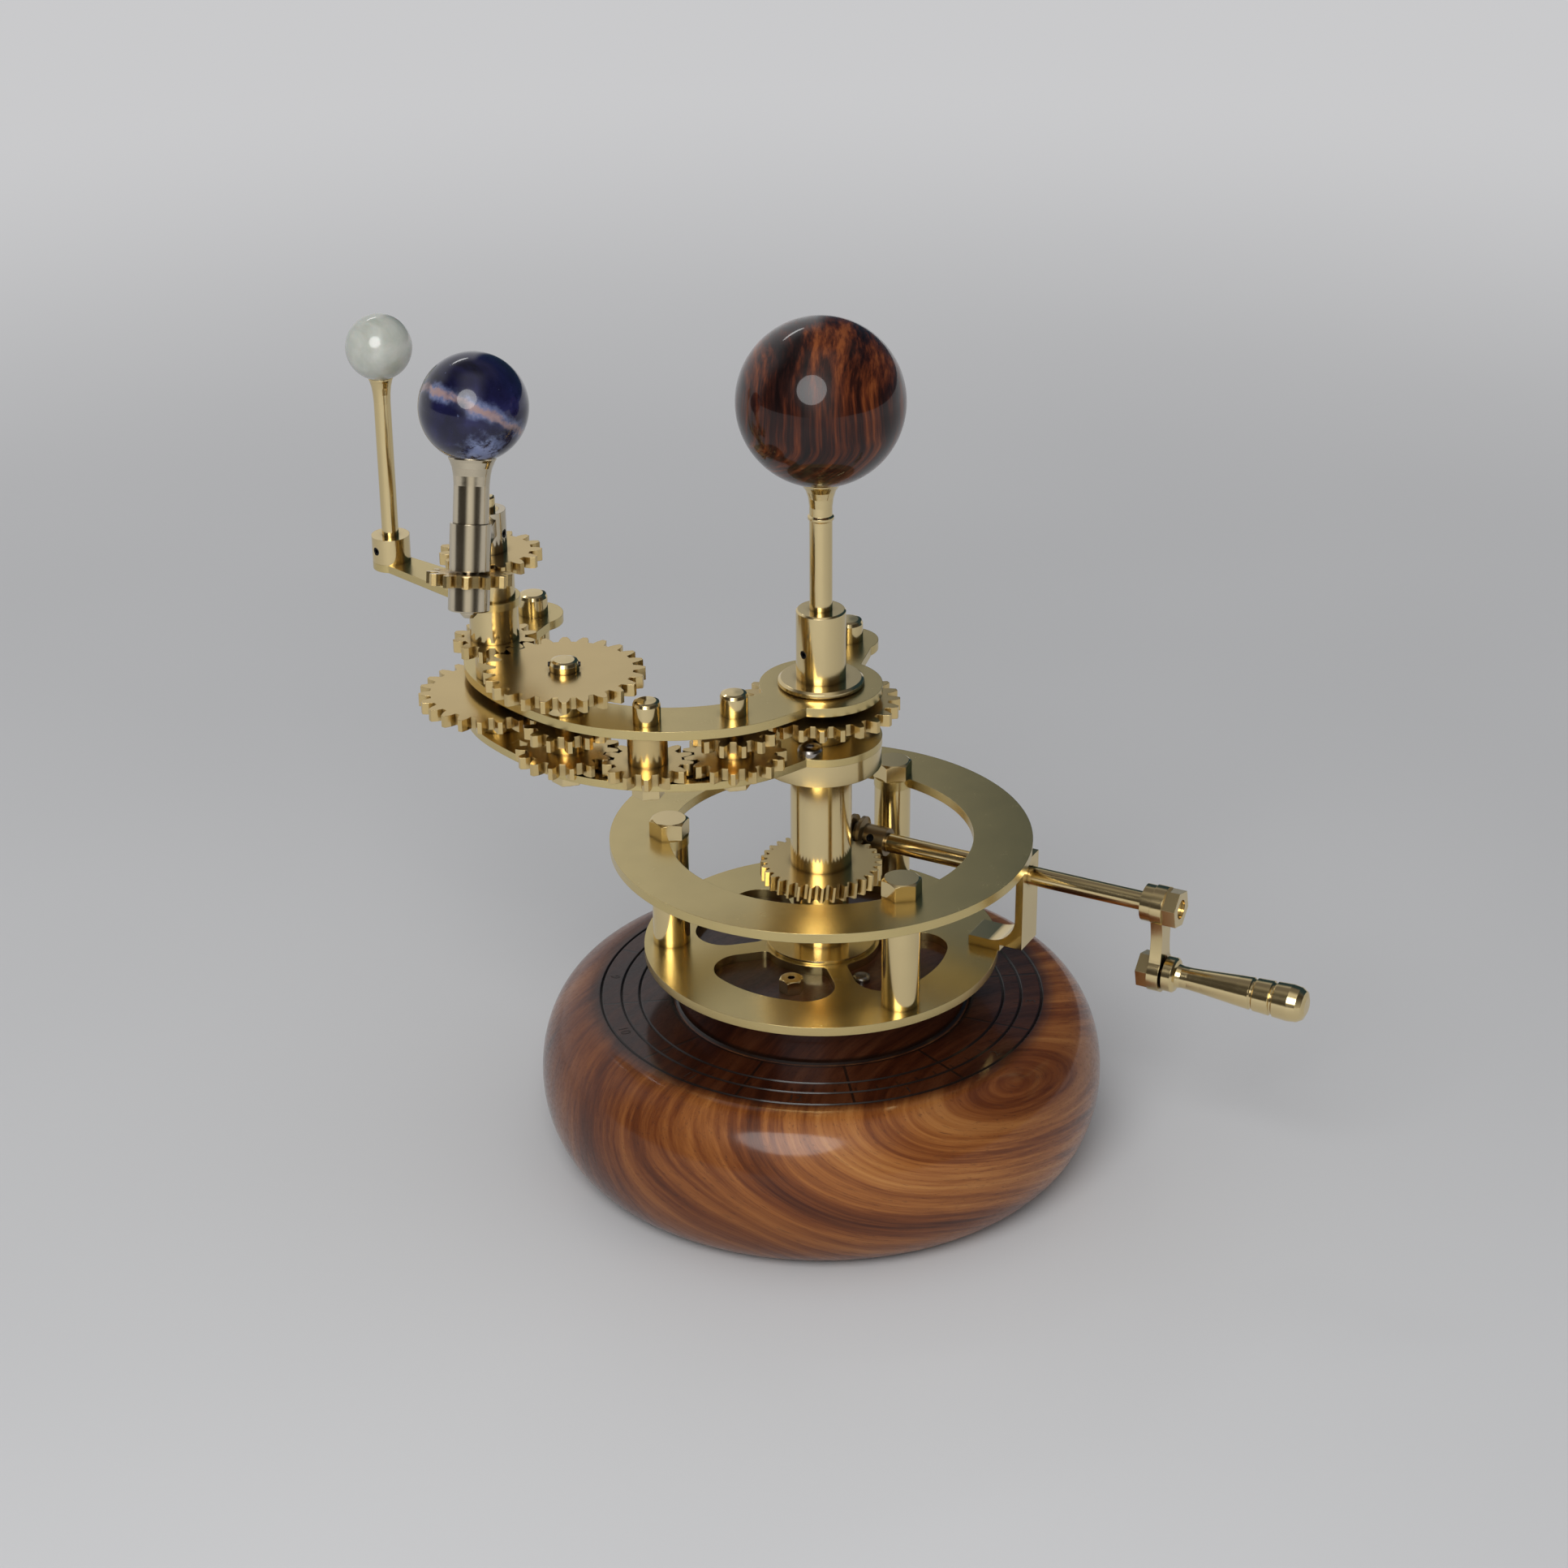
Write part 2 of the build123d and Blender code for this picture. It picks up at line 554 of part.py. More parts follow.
worm_wheel = loft([wheel_face(WHEEL_BOTTOM), wheel_face(WHEEL_TOP)], ruled=True)
worm_wheel -= disc(COLUMN_SPIGOT_RADIUS + FIT, WHEEL_BOTTOM - 1, WHEEL_TOP + 1)
save("worm_wheel", worm_wheel)

arm_screw_places = [polar(FLANGE_RADIUS - ARM_SCREW_INSET, azimuth) for azimuth in ARM_SCREW_AZIMUTHS]
column_flange = tube(FLANGE_RADIUS, COLUMN_SPIGOT_RADIUS + FIT, FLANGE_BOTTOM, ARM_BOTTOM)
for place in arm_screw_places:
    column_flange -= disc(ARM_SCREW_SHANK + FIT, ARM_BOTTOM - ARM_SCREW_DEPTH - 0.2, ARM_BOTTOM + 1, place)
save("column_flange", column_flange)


# Smooth curve through the given points, and the line that runs beside it
def smooth_line(points, steps):
    before_first = (2 * points[0][0] - points[1][0], 2 * points[0][1] - points[1][1])
    after_last = (2 * points[-1][0] - points[-2][0], 2 * points[-1][1] - points[-2][1])
    ends = [before_first, *points, after_last]
    line = []
    for index in range(1, len(ends) - 2):
        a, b, c, d = ends[index - 1:index + 3]
        for step in range(steps):
            t = step / steps
            weights = (
                -t ** 3 + 2 * t ** 2 - t,
                3 * t ** 3 - 5 * t ** 2 + 2,
                -3 * t ** 3 + 4 * t ** 2 + t,
                t ** 3 - t ** 2,
            )
            line.append(tuple(sum(w * p[k] for w, p in zip(weights, (a, b, c, d))) / 2 for k in (0, 1)))
    return line + [points[-1]]


def beside(line, distance):
    side = []
    for index, point in enumerate(line):
        before = line[max(index - 1, 0)]
        after = line[min(index + 1, len(line) - 1)]
        dx, dy = after[0] - before[0], after[1] - before[1]
        length = math.hypot(dx, dy)
        side.append((point[0] - dy / length * distance, point[1] + dx / length * distance))
    return side


# Outline shared by both arm plates: hub disc, curved band over the gear arbors and two round lobes
def arm_outline():
    line = smooth_line([
        shifted(PIN_1, (16.8, 11.2)),
        shifted(PIN_1, (0.5, -0.6)),
        shifted(PIN_2, (0.4, 1.2)),
        shifted(PIN_3, (0.6, 0.7)),
        shifted(STATION, (0.7, 0.7)),
        shifted(POST_2, (-7.9, -19.5)),
        shifted(POST_2, (-0.5, -0.2)),
    ], 3)
    left = beside(line, -ARM_HALF_WIDTH)
    right = beside(line, ARM_HALF_WIDTH)
    band = make_face(Spline(*left) + Line(left[-1], right[-1]) + Spline(*right) + Line(right[0], left[0]))
    face = band + Circle(ARM_HUB_RADIUS) + Pos(*POST_2) * Circle(POST_LOBE_RADIUS)
    reach = math.hypot(*POST_1)
    azimuth = math.degrees(math.atan2(POST_1[1], POST_1[0]))
    neck = Rot(0, 0, azimuth) * Pos(reach / 2, 0) * Rectangle(reach, 2 * POST_LOBE_RADIUS - 1.6)
    return face + neck + Pos(*POST_1) * Circle(POST_LOBE_RADIUS)


# Holes of one arm plate, given as radius and places
def drilled(plate, low, high, holes):
    for radius, places in holes:
        for place in places:
            plate -= disc(radius, low - 1, high + 1, place)
    return plate


arm_face = arm_outline()
lower_arm_plate = Pos(0, 0, ARM_BOTTOM) * extrude(arm_face, ARM_THICKNESS)
save("lower_arm_plate", drilled(lower_arm_plate, ARM_BOTTOM, ARM_LOWER_TOP, [
    (ARBOR_RADIUS + RUN, [(0, 0)]),
    (PIN_RADIUS + FIT, [PIN_1, PIN_2, PIN_3]),
    (ROD_RADIUS + RUN, [STATION]),
    (ARM_SCREW_SHANK + FIT, arm_screw_places),
]))
upper_arm_plate = Pos(0, 0, ARM_UPPER_BOTTOM) * extrude(arm_face, ARM_UPPER_THICKNESS)
save("upper_arm_plate", drilled(upper_arm_plate, ARM_UPPER_BOTTOM, ARM_UPPER_TOP, [
    (ARBOR_RADIUS + RUN, [(0, 0)]),
    (PIN_RADIUS + FIT, [PIN_1, PIN_2, POST_1, POST_2]),
    (SLEEVE_RADIUS + RUN, [PIN_3]),
    (ROD_RADIUS + RUN, [STATION]),
]))

arm_screws = []
for place in arm_screw_places:
    head_top = ARM_LOWER_TOP + ARM_SCREW_HEAD_HEIGHT
    head = domed_cap(ARM_SCREW_HEAD, ARM_LOWER_TOP, head_top, place)
    head -= hexagon(0.4 * ARM_SCREW_HEAD, head_top - 0.5 * ARM_SCREW_HEAD_HEIGHT, head_top + 1, place)
    arm_screws.append(head + disc(ARM_SCREW_SHANK, ARM_BOTTOM - ARM_SCREW_DEPTH, ARM_LOWER_TOP, place))
save("arm_plate_screws", group(arm_screws))

posts = []
caps = []
for place in (POST_1, POST_2):
    post = disc(POST_RADIUS, ARM_LOWER_TOP, ARM_UPPER_BOTTOM, place)
    bore_foot = ARM_UPPER_BOTTOM - CAP_STUD_LENGTH - 0.2
    posts.append(post - disc(PIN_RADIUS + FIT, bore_foot, ARM_UPPER_BOTTOM + 1, place))
    cap = domed_cap(POST_CAP_RADIUS, ARM_UPPER_TOP, ARM_UPPER_TOP + CAP_HEIGHT, place)
    caps.append(cap + disc(PIN_RADIUS, ARM_UPPER_BOTTOM - CAP_STUD_LENGTH, ARM_UPPER_TOP, place))
save("spacer_posts", group(posts))
save("post_caps", group(caps))

# Fixed pins of the three gear arbors, with nuts below the lower plate
pins = []
pin_bottom = ARM_BOTTOM - NUT_HEIGHT - 0.8
for place in (PIN_1, PIN_2):
    pin = disc(PIN_RADIUS, pin_bottom, ARM_UPPER_TOP, place)
    pins.append(pin + domed_cap(PIN_CAP_RADIUS, ARM_UPPER_TOP, ARM_UPPER_TOP + CAP_HEIGHT, place))
pin_3_cap_low = TOP_GEARS_TOP + RUN
pin_3_cap_top = pin_3_cap_low + PIN_3_CAP_HEIGHT
pin_3 = disc(PIN_RADIUS, pin_bottom, pin_3_cap_low, PIN_3)
pin_3 += domed_cap(PIN_3_CAP_RADIUS, pin_3_cap_low, pin_3_cap_top, PIN_3)
cross_place = level_place(PIN_3, (pin_3_cap_low + pin_3_cap_top) / 2, 0)
pins.append(pin_3 - cross_place * disc(CROSS_PIN_RADIUS + FIT, -PIN_3_CAP_RADIUS - 1, PIN_3_CAP_RADIUS + 1))
save("gear_pins", group(pins))
cross_half = PIN_3_CAP_RADIUS + 0.3
save("cross_pin", cross_place * disc(CROSS_PIN_RADIUS, -cross_half, cross_half))

nuts = []
for place in (PIN_1, PIN_2, PIN_3):
    nut = hexagon(NUT_ACROSS_FLATS / math.sqrt(3), ARM_BOTTOM - NUT_HEIGHT, ARM_BOTTOM, place, 12)
    nuts.append(nut - disc(PIN_RADIUS + FIT, ARM_BOTTOM - NUT_HEIGHT - 1, ARM_BOTTOM + 1, place))
save("pin_nuts", group(nuts))

# Gear train from the fixed central gear out to the station
sleeve_bore = PIN_RADIUS + RUN
gear_bore = SLEEVE_RADIUS + FIT
sleeve_foot = ARM_LOWER_TOP + RUN
sleeve_head = ARM_UPPER_BOTTOM - RUN


# Gear with the sleeve it stands on and a shoulder above it
def sleeved_gear(teeth, at, turn, shoulder_radius, shoulder_top, sleeve_top):
    body = gear(teeth, sleeve_bore, LOWER_GEARS, LOWER_GEARS_TOP, at, turn)
    body += tube(SLEEVE_RADIUS, sleeve_bore, sleeve_foot, sleeve_top, at)
    return body + tube(shoulder_radius, sleeve_bore, LOWER_GEARS_TOP, shoulder_top, at)


turn_1_upper = meshing_turn((0, 0), PIN_1, CENTRAL_TEETH, PINION_TEETH, CENTRAL_TURN)
turn_1_lower = 5.0
turn_2 = meshing_turn(PIN_1, PIN_2, COMPOUND_TEETH, IDLER_TEETH, turn_1_lower)
turn_3_lower = meshing_turn(PIN_2, PIN_3, IDLER_TEETH, COMPOUND_TEETH, turn_2)
turn_3_upper = 8.0
turn_3_top = 3.0
turn_station = meshing_turn(PIN_3, STATION, PINION_TEETH, STATION_TEETH, turn_3_upper)
turn_moon_hub = meshing_turn(PIN_3, STATION, TOP_TEETH, PINION_TEETH, turn_3_top)

gear_1_lower = sleeved_gear(COMPOUND_TEETH, PIN_1, turn_1_lower, HUB_1_RADIUS, UPPER_GEARS, UPPER_GEARS_TOP + 0.6)
save("gear_1_lower", gear_1_lower)
save("gear_1_upper", gear(PINION_TEETH, gear_bore, UPPER_GEARS, UPPER_GEARS_TOP, PIN_1, turn_1_upper))
save("gear_2_idler", sleeved_gear(IDLER_TEETH, PIN_2, turn_2, HUB_2_RADIUS, sleeve_head, sleeve_head))
gear_3_lower = sleeved_gear(COMPOUND_TEETH, PIN_3, turn_3_lower, HUB_3_RADIUS, UPPER_GEARS, TOP_GEARS_TOP)
save("gear_3_lower", gear_3_lower)
save("gear_3_upper", gear(PINION_TEETH, gear_bore, UPPER_GEARS, UPPER_GEARS_TOP, PIN_3, turn_3_upper))
save("gear_3_bush", tube(BUSH_3_RADIUS, gear_bore, ARM_UPPER_TOP + RUN, TOP_GEARS, PIN_3))
save("gear_3_top", gear(TOP_TEETH, gear_bore, TOP_GEARS, TOP_GEARS_TOP, PIN_3, turn_3_top))

# Station gear and the rod that keeps one direction in space
station_gear = gear(STATION_TEETH, ROD_RADIUS + FIT, UPPER_GEARS, UPPER_GEARS_TOP, STATION, turn_station)
station_gear += tube(MOON_SPACER_RADIUS, ROD_RADIUS + FIT, sleeve_foot, UPPER_GEARS, STATION)
save("station_gear", station_gear)

rod_top = MOON_GEAR_TOP + ROD_ABOVE_GEAR
rod_neck = MOON_GEAR_TOP + RUN + BRACKET_COLLAR_HEIGHT
rod = disc(ROD_RADIUS, ARM_BOTTOM, rod_neck, STATION)
save("station_rod", rod + domed_cap(0.65 * ROD_RADIUS, rod_neck, rod_top + 1.5, STATION))

# Moon carrier: hub gear on a sleeve, two tubes, the Moon arm between them and the top gear
moon_bore = MOON_SLEEVE_RADIUS + FIT
rod_bore = ROD_RADIUS + RUN
moon_hub = gear(PINION_TEETH, rod_bore, TOP_GEARS, TOP_GEARS_TOP, STATION, turn_moon_hub)
moon_hub += tube(MOON_SPACER_RADIUS, rod_bore, ARM_UPPER_TOP + RUN, TOP_GEARS, STATION)
moon_hub += tube(MOON_SLEEVE_RADIUS, rod_bore, TOP_GEARS_TOP, MOON_GEAR_TOP, STATION)
save("moon_hub_gear", moon_hub)
save("moon_lower_tube", tube(MOON_TUBE_RADIUS, moon_bore, TOP_GEARS_TOP, MOON_ARM_BOTTOM, STATION))
save("moon_upper_tube", tube(MOON_UPPER_TUBE_RADIUS, moon_bore, MOON_ARM_TOP, MOON_GEAR_BOTTOM, STATION))

moon_at = shifted(STATION, polar(MOON_ARM_LENGTH, MOON_AZIMUTH))


def moon_arm_outline():
    near = 0.85 * MOON_EYE_RADIUS
    far = 0.77 * MOON_BOSS_RADIUS
    bar = Polyline((0, -near), (MOON_ARM_LENGTH, -far), (MOON_ARM_LENGTH, far), (0, near), close=True)
    face = make_face(bar) + Circle(MOON_EYE_RADIUS) + Pos(MOON_ARM_LENGTH, 0) * Circle(MOON_BOSS_RADIUS)
    face -= Circle(moon_bore)
    face -= Pos(MOON_ARM_LENGTH, 0) * Circle(SPIGOT_RADIUS + FIT)
    return Rot(0, 0, MOON_AZIMUTH) * face


save("moon_arm", Pos(*STATION, MOON_ARM_BOTTOM) * extrude(moon_arm_outline(), MOON_ARM_THICKNESS))

moon_stem_bore = MOON_STEM_RADIUS + FIT
moon_screw_place = level_place(moon_at, MOON_ARM_TOP + MOON_SCREW_HEIGHT, -136)
moon_hole, moon_set_screw = set_screw(moon_screw_place, moon_stem_bore, MOON_BOSS_RADIUS)
save("moon_boss", tube(MOON_BOSS_RADIUS, moon_stem_bore, MOON_ARM_TOP, MOON_BOSS_TOP, moon_at) - moon_hole)
save("moon_set_screw", moon_set_screw)
moon_stem = ball_stem(MOON_STEM_RADIUS, MOON_ARM_TOP + RUN, MOON_Z, MOON_RADIUS, MOON_CUP_RADIUS)
moon_stem += disc(SPIGOT_RADIUS, MOON_ARM_BOTTOM, MOON_ARM_TOP + 1)
save("moon_stem", Pos(*moon_at, 0) * moon_stem)
save("moon_ball", Pos(*moon_at, 0) * ball(MOON_RADIUS, MOON_Z))

# Top gear of the Moon carrier and the tilted spindle gear that meshes with it
turn_moon_top = 0.0
tilt_form = dict(addendum=TILT_ADDENDUM, play=TILT_BACKLASH)
moon_top_gear = gear(
    COMPOUND_TEETH, moon_bore, MOON_GEAR_BOTTOM, MOON_GEAR_TOP, STATION, turn_moon_top, **tilt_form)
save("moon_top_gear", moon_top_gear)

tilt_level = TILT_AXIS[2] / math.hypot(*TILT_AXIS)
spindle_reach = MODULE / 2 * (COMPOUND_TEETH + PINION_TEETH * tilt_level)
spindle_offset = polar(spindle_reach, SPINDLE_AZIMUTH)
spindle_foot = (*shifted(STATION, spindle_offset), SPINDLE_Z)
spindle_frame = Plane(origin=spindle_foot, x_dir=(1, 0, -TILT_AXIS[0] / TILT_AXIS[2]), z_dir=TILT_AXIS).location
turn_spindle = 0.2
half_width = SPINDLE_GEAR_WIDTH / 2
spindle_bore = SPINDLE_SHAFT_RADIUS + FIT
spindle_gear = gear(PINION_TEETH, spindle_bore, -half_width, half_width, (0, 0), turn_spindle, **tilt_form)
save("spindle_gear", spindle_frame * spindle_gear)

shaft_end = SPINDLE_HUB_END + 1.0
save("spindle_hub", spindle_frame * turned([
    (spindle_bore, -half_width),
    (SPINDLE_HUB_RADIUS, -half_width),
    (SPINDLE_HUB_RADIUS, SPINDLE_HUB_END + 0.3),
    (SPINDLE_HUB_RADIUS - 0.3, SPINDLE_HUB_END),
    (2.2, SPINDLE_HUB_END),
    (2.0, SPINDLE_HUB_END + 0.4 * (SPINDLE_TIP_END - SPINDLE_HUB_END)),
    (1.2, SPINDLE_HUB_END + 0.9 * (SPINDLE_TIP_END - SPINDLE_HUB_END)),
    (0, SPINDLE_TIP_END),
    (0, shaft_end - RUN),
    (spindle_bore, shaft_end - RUN),
]))

earth_stem = ball_stem(
    EARTH_STEM_RADIUS, BRACKET_SLEEVE_END + RUN, EARTH_DISTANCE, EARTH_RADIUS, EARTH_CUP_RADIUS)
earth_stem += disc(SPINDLE_SHAFT_RADIUS, shaft_end, BRACKET_SLEEVE_END + 1)
save("earth_stem", spindle_frame * earth_stem)
save("earth_ball", spindle_frame * ball(EARTH_RADIUS, EARTH_DISTANCE))

# Bracket that carries the spindle: collar on the rod, bar and tilted sleeve
collar_low = MOON_GEAR_TOP + RUN
collar_high = collar_low + BRACKET_COLLAR_HEIGHT
bar_middle = collar_low + BRACKET_BAR_LIFT + BRACKET_BAR_HEIGHT / 2
rise = (bar_middle - SPINDLE_Z) / TILT_AXIS[2]
bar_end = shifted(spindle_offset, (rise * TILT_AXIS[0], rise * TILT_AXIS[1]))
bar_length = math.hypot(*bar_end)
bar_azimuth = math.degrees(math.atan2(bar_end[1], bar_end[0]))
bar = Pos(bar_length / 2, 0, bar_middle) * Box(bar_length, BRACKET_BAR_WIDTH, BRACKET_BAR_HEIGHT)
bracket = disc(BRACKET_COLLAR_RADIUS, collar_low, collar_high, STATION)
bracket += Pos(*STATION, 0) * Rot(0, 0, bar_azimuth) * bar
bracket += spindle_frame * disc(BRACKET_SLEEVE_RADIUS, BRACKET_SLEEVE_START, BRACKET_SLEEVE_END)
bracket -= disc(ROD_RADIUS + FIT, collar_low - 1, collar_high + 1, STATION)
bracket -= spindle_frame * disc(SPINDLE_SHAFT_RADIUS + RUN, -5, BRACKET_SLEEVE_END + 5)
bracket_screw_place = level_place(STATION, collar_low + 0.45 * BRACKET_COLLAR_HEIGHT, -25)
bracket_hole, bracket_set_screw = set_screw(bracket_screw_place, ROD_RADIUS + FIT, BRACKET_COLLAR_RADIUS)
save("earth_bracket", bracket - bracket_hole)
save("bracket_set_screw", bracket_set_screw)

# Crank shaft and worm
CRANK_ARM_START = CRANK_COLLAR_START + CRANK_COLLAR_LENGTH
arm_end = CRANK_ARM_START + CRANK_ARM_THICKNESS
nut_end = arm_end + CRANK_NUT_HEIGHT
bearing_end = WORM_START - BEARING_GAP
bearing_start = bearing_end - BEARING_THICKNESS
save("crank_shaft", shaft_frame * disc(SHAFT_RADIUS, bearing_start - SHAFT_TAIL, nut_end - 0.8))


def worm_thread():
    lead = math.pi * WORM_MODULE
    inside = WORM_PITCH_RADIUS - WORM_DEDENDUM - 0.4
    outside = WORM_PITCH_RADIUS + WORM_ADDENDUM
    half = lead / 4 - WORM_BACKLASH / 4
    half_inside = half + (WORM_PITCH_RADIUS - inside) * math.tan(WORM_FLANK_ANGLE)
    half_outside = half - (outside - WORM_PITCH_RADIUS) * math.tan(WORM_FLANK_ANGLE)
    turns_before = math.ceil(-WORM_START / lead) + 1
    turns = turns_before + math.ceil(WORM_END / lead) + 1
    low = -turns_before * lead
    path = Helix(lead, turns * lead, WORM_PITCH_RADIUS, center=(0, 0, low))
    corners = [(inside, -half_inside), (outside, -half_outside), (outside, half_outside), (inside, half_inside)]
    profile = make_face(Plane.XZ * Polyline(*[(r, z + low) for r, z in corners], close=True))
    thread = sweep(profile, path, is_frenet=True)
    return Rot(0, 0, -90) * thread & disc(outside + 1, WORM_START, WORM_END)


hub_end = WORM_END + WORM_HUB_LENGTH
worm = disc(WORM_PITCH_RADIUS - WORM_DEDENDUM, WORM_START, WORM_END) + worm_thread()
worm += disc(WORM_HUB_RADIUS, WORM_END, hub_end)
worm -= disc(SHAFT_RADIUS + FIT, WORM_START - 1, hub_end + 1)
screw_middle = WORM_END + 0.36 * WORM_HUB_LENGTH
worm_screw_place = Plane(origin=(0, 0, screw_middle), x_dir=(0, 0, 1), z_dir=(-0.5, -0.87, 0)).location
worm_hole, worm_set_screw = set_screw(worm_screw_place, SHAFT_RADIUS + FIT, WORM_HUB_RADIUS)
save("worm", shaft_frame * (worm - worm_hole))
save("worm_set_screw", shaft_frame * worm_set_screw)

# Inner bearing post on the boss, behind the column
bearing_radius = SHAFT_RADIUS + BEARING_WALL
bearing_height = SHAFT_Z - BOSS_TOP
bearing_middle = (bearing_start + bearing_end) / 2
bearing = Box(bearing_height, 2 * bearing_radius, BEARING_THICKNESS)
bearing = Pos(bearing_height / 2, 0, bearing_middle) * bearing
bearing += disc(bearing_radius, bearing_start, bearing_end)
bearing -= disc(SHAFT_RADIUS + RUN, bearing_start - 1, bearing_end + 1)
save("worm_bearing_post", shaft_frame * bearing)


# Outer bracket: foot on the lower plate, step over the plate's edge, curved web and upright
def bracket_outline():
    bottom = SHAFT_Z - PLATE_TOP
    foot_top = bottom - BRACKET_FOOT_THICKNESS
    inner = BRACKET_END - BRACKET_THICKNESS
    bend = 1 - math.sqrt(0.5)
    curve = ThreePointArc(
        (foot_top - BRACKET_CURVE, inner),
        (foot_top - BRACKET_CURVE * bend, inner - BRACKET_CURVE * bend),
        (foot_top, inner - BRACKET_CURVE),
    )
    rest = Polyline(
        (foot_top, inner - BRACKET_CURVE),
        (foot_top, BRACKET_FOOT_START),
        (bottom, BRACKET_FOOT_START),
        (bottom, BRACKET_STEP_START),
        (bottom - BRACKET_STEP, BRACKET_STEP_START),
        (bottom - BRACKET_STEP, BRACKET_END),
        (-BRACKET_HEAD, BRACKET_END),
        (-BRACKET_HEAD, inner),
        (foot_top - BRACKET_CURVE, inner),
    )
    return make_face(Plane.XZ * (curve + rest))


shaft_bracket = extrude(bracket_outline(), BRACKET_WIDTH / 2, both=True)
shaft_bracket -= disc(SHAFT_RADIUS + RUN, BRACKET_END - BRACKET_THICKNESS - 1, BRACKET_END + 1)
save("shaft_bracket", shaft_frame * shaft_bracket)

# Crank arm, its collar and nut, the handle screw and the loose handle
collar = tube(CRANK_COLLAR_RADIUS, SHAFT_RADIUS + FIT, CRANK_COLLAR_START, CRANK_ARM_START)
save("crank_collar", shaft_frame * collar)


def crank_outline():
    half = 0.92 * CRANK_END_RADIUS
    middle = CRANK_RADIUS / 2
    side = Spline((0, half), (middle, CRANK_WAIST), (CRANK_RADIUS, half))
    other = Spline((0, -half), (middle, -CRANK_WAIST), (CRANK_RADIUS, -half))
    near = Line((0, half), (0, -half))
    far = Line((CRANK_RADIUS, half), (CRANK_RADIUS, -half))
    face = make_face(side + far + other + near) + Circle(CRANK_END_RADIUS)
    face += Pos(CRANK_RADIUS, 0) * Circle(CRANK_END_RADIUS)
    return face - Circle(SHAFT_RADIUS + FIT) - Pos(CRANK_RADIUS, 0) * Circle(HANDLE_PIN_RADIUS + FIT)


crank_arm = Pos(0, 0, CRANK_ARM_START) * extrude(crank_outline(), CRANK_ARM_THICKNESS)
save("crank_arm", shaft_frame * crank_arm)
crank_nut = hexagon(CRANK_NUT_CORNER, arm_end, nut_end, turn=15)
save("crank_nut", shaft_frame * (crank_nut - disc(SHAFT_RADIUS + FIT, arm_end - 1, nut_end + 1)))

handle_axis = (CRANK_RADIUS, 0)
handle_start = arm_end + HANDLE_GAP
screw_head = hexagon(HANDLE_SCREW_CORNER, CRANK_ARM_START - HANDLE_SCREW_HEAD, CRANK_ARM_START, handle_axis, 15)
handle_pin = disc(HANDLE_PIN_RADIUS, CRANK_ARM_START - 1, handle_start + 0.8 * HANDLE_LENGTH, handle_axis)
save("handle_screw", shaft_frame * (screw_head + handle_pin))

# Handle profile: shares of its length, radius first
handle_shape = [
    (0.100, 0), (0.109, 0.010), (0.109, 0.070), (0.098, 0.083), (0.075, 0.093),
    (0.069, 0.125), (0.069, 0.175), (0.075, 0.275), (0.085, 0.400), (0.095, 0.525), (0.101, 0.615), (0.093, 0.625),
    (0.093, 0.638), (0.103, 0.648), (0.108, 0.755), (0.098, 0.765), (0.098, 0.778), (0.110, 0.788), (0.115, 0.888),
    (0.108, 0.948), (0.088, 0.983), (0.055, 0.998), (0, 1.0),
]
handle_bore = disc(HANDLE_PIN_RADIUS + RUN, handle_start - 1, handle_start + 0.82 * HANDLE_LENGTH, handle_axis)
outline = [(0, handle_start)]
outline += [(radius * 1.1 * HANDLE_LENGTH, handle_start + share * HANDLE_LENGTH) for radius, share in handle_shape]
save("crank_handle", shaft_frame * (turned(outline, handle_axis) - handle_bore))
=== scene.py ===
import json
import math

import bpy
from mathutils import Matrix, Vector


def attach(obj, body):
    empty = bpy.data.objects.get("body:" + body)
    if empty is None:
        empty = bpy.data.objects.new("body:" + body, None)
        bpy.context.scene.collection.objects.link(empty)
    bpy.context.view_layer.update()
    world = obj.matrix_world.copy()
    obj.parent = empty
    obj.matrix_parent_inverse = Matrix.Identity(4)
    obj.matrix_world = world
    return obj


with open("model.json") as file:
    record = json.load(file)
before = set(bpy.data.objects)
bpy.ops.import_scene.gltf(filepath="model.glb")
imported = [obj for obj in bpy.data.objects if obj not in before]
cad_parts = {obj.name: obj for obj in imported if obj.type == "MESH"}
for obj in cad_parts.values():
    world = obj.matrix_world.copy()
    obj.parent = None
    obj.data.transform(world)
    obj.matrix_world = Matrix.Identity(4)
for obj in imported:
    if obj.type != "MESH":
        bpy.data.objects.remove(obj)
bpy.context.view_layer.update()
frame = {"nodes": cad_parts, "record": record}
scene = bpy.context.scene
nodes = frame["nodes"]
slot_of = {part["node"]: part["material_slot"] for part in frame["record"]["subparts"]}

MM = 0.001

# Camera: pose and lens found from the photograph
CAMERA_AT = Vector((-9.1, -720.6, 450.6)) * MM
CAMERA_PITCH = math.radians(26.033)
CAMERA_ROLL = math.radians(-0.36)
CAMERA_LENS = 75.0

# Wooden base and its engraved rings, in mm
BASE_TOP = 40.85
BOSS_RADIUS = 36.5
RING_RADII = (46.0, 50.5, 55.7)
DIVISIONS = 12

# Pale grey of the backdrop and of the floor far from the object
BACKDROP = (0.59, 0.59, 0.60)

# Ball centres, in mm
EARTH_AT = (-80.42, -2.79, 197.64)
MOON_AT = (-105.66, 29.69, 201.5)
SUN_AT = (0.0, 0.0, 197.35)

# Middle of the Earth's pale cloud, in mm from the Earth's centre
EARTH_CLOUD = (2.9, -9.5, -7.6)

# Knot that the base's grain curves round: place and size in mm, and turn of the grain in radians
KNOT_AT = (50.0, -36.0, 36.0)
KNOT_RADIUS = 9.0
GRAIN_TURN = (-1.10, 0.10, -0.16)

# Numbers and ticks on the base's rings, in mm
NUMBER_SIZE = 3.6
NUMBER_THICKNESS = 0.02
TICKS = 60

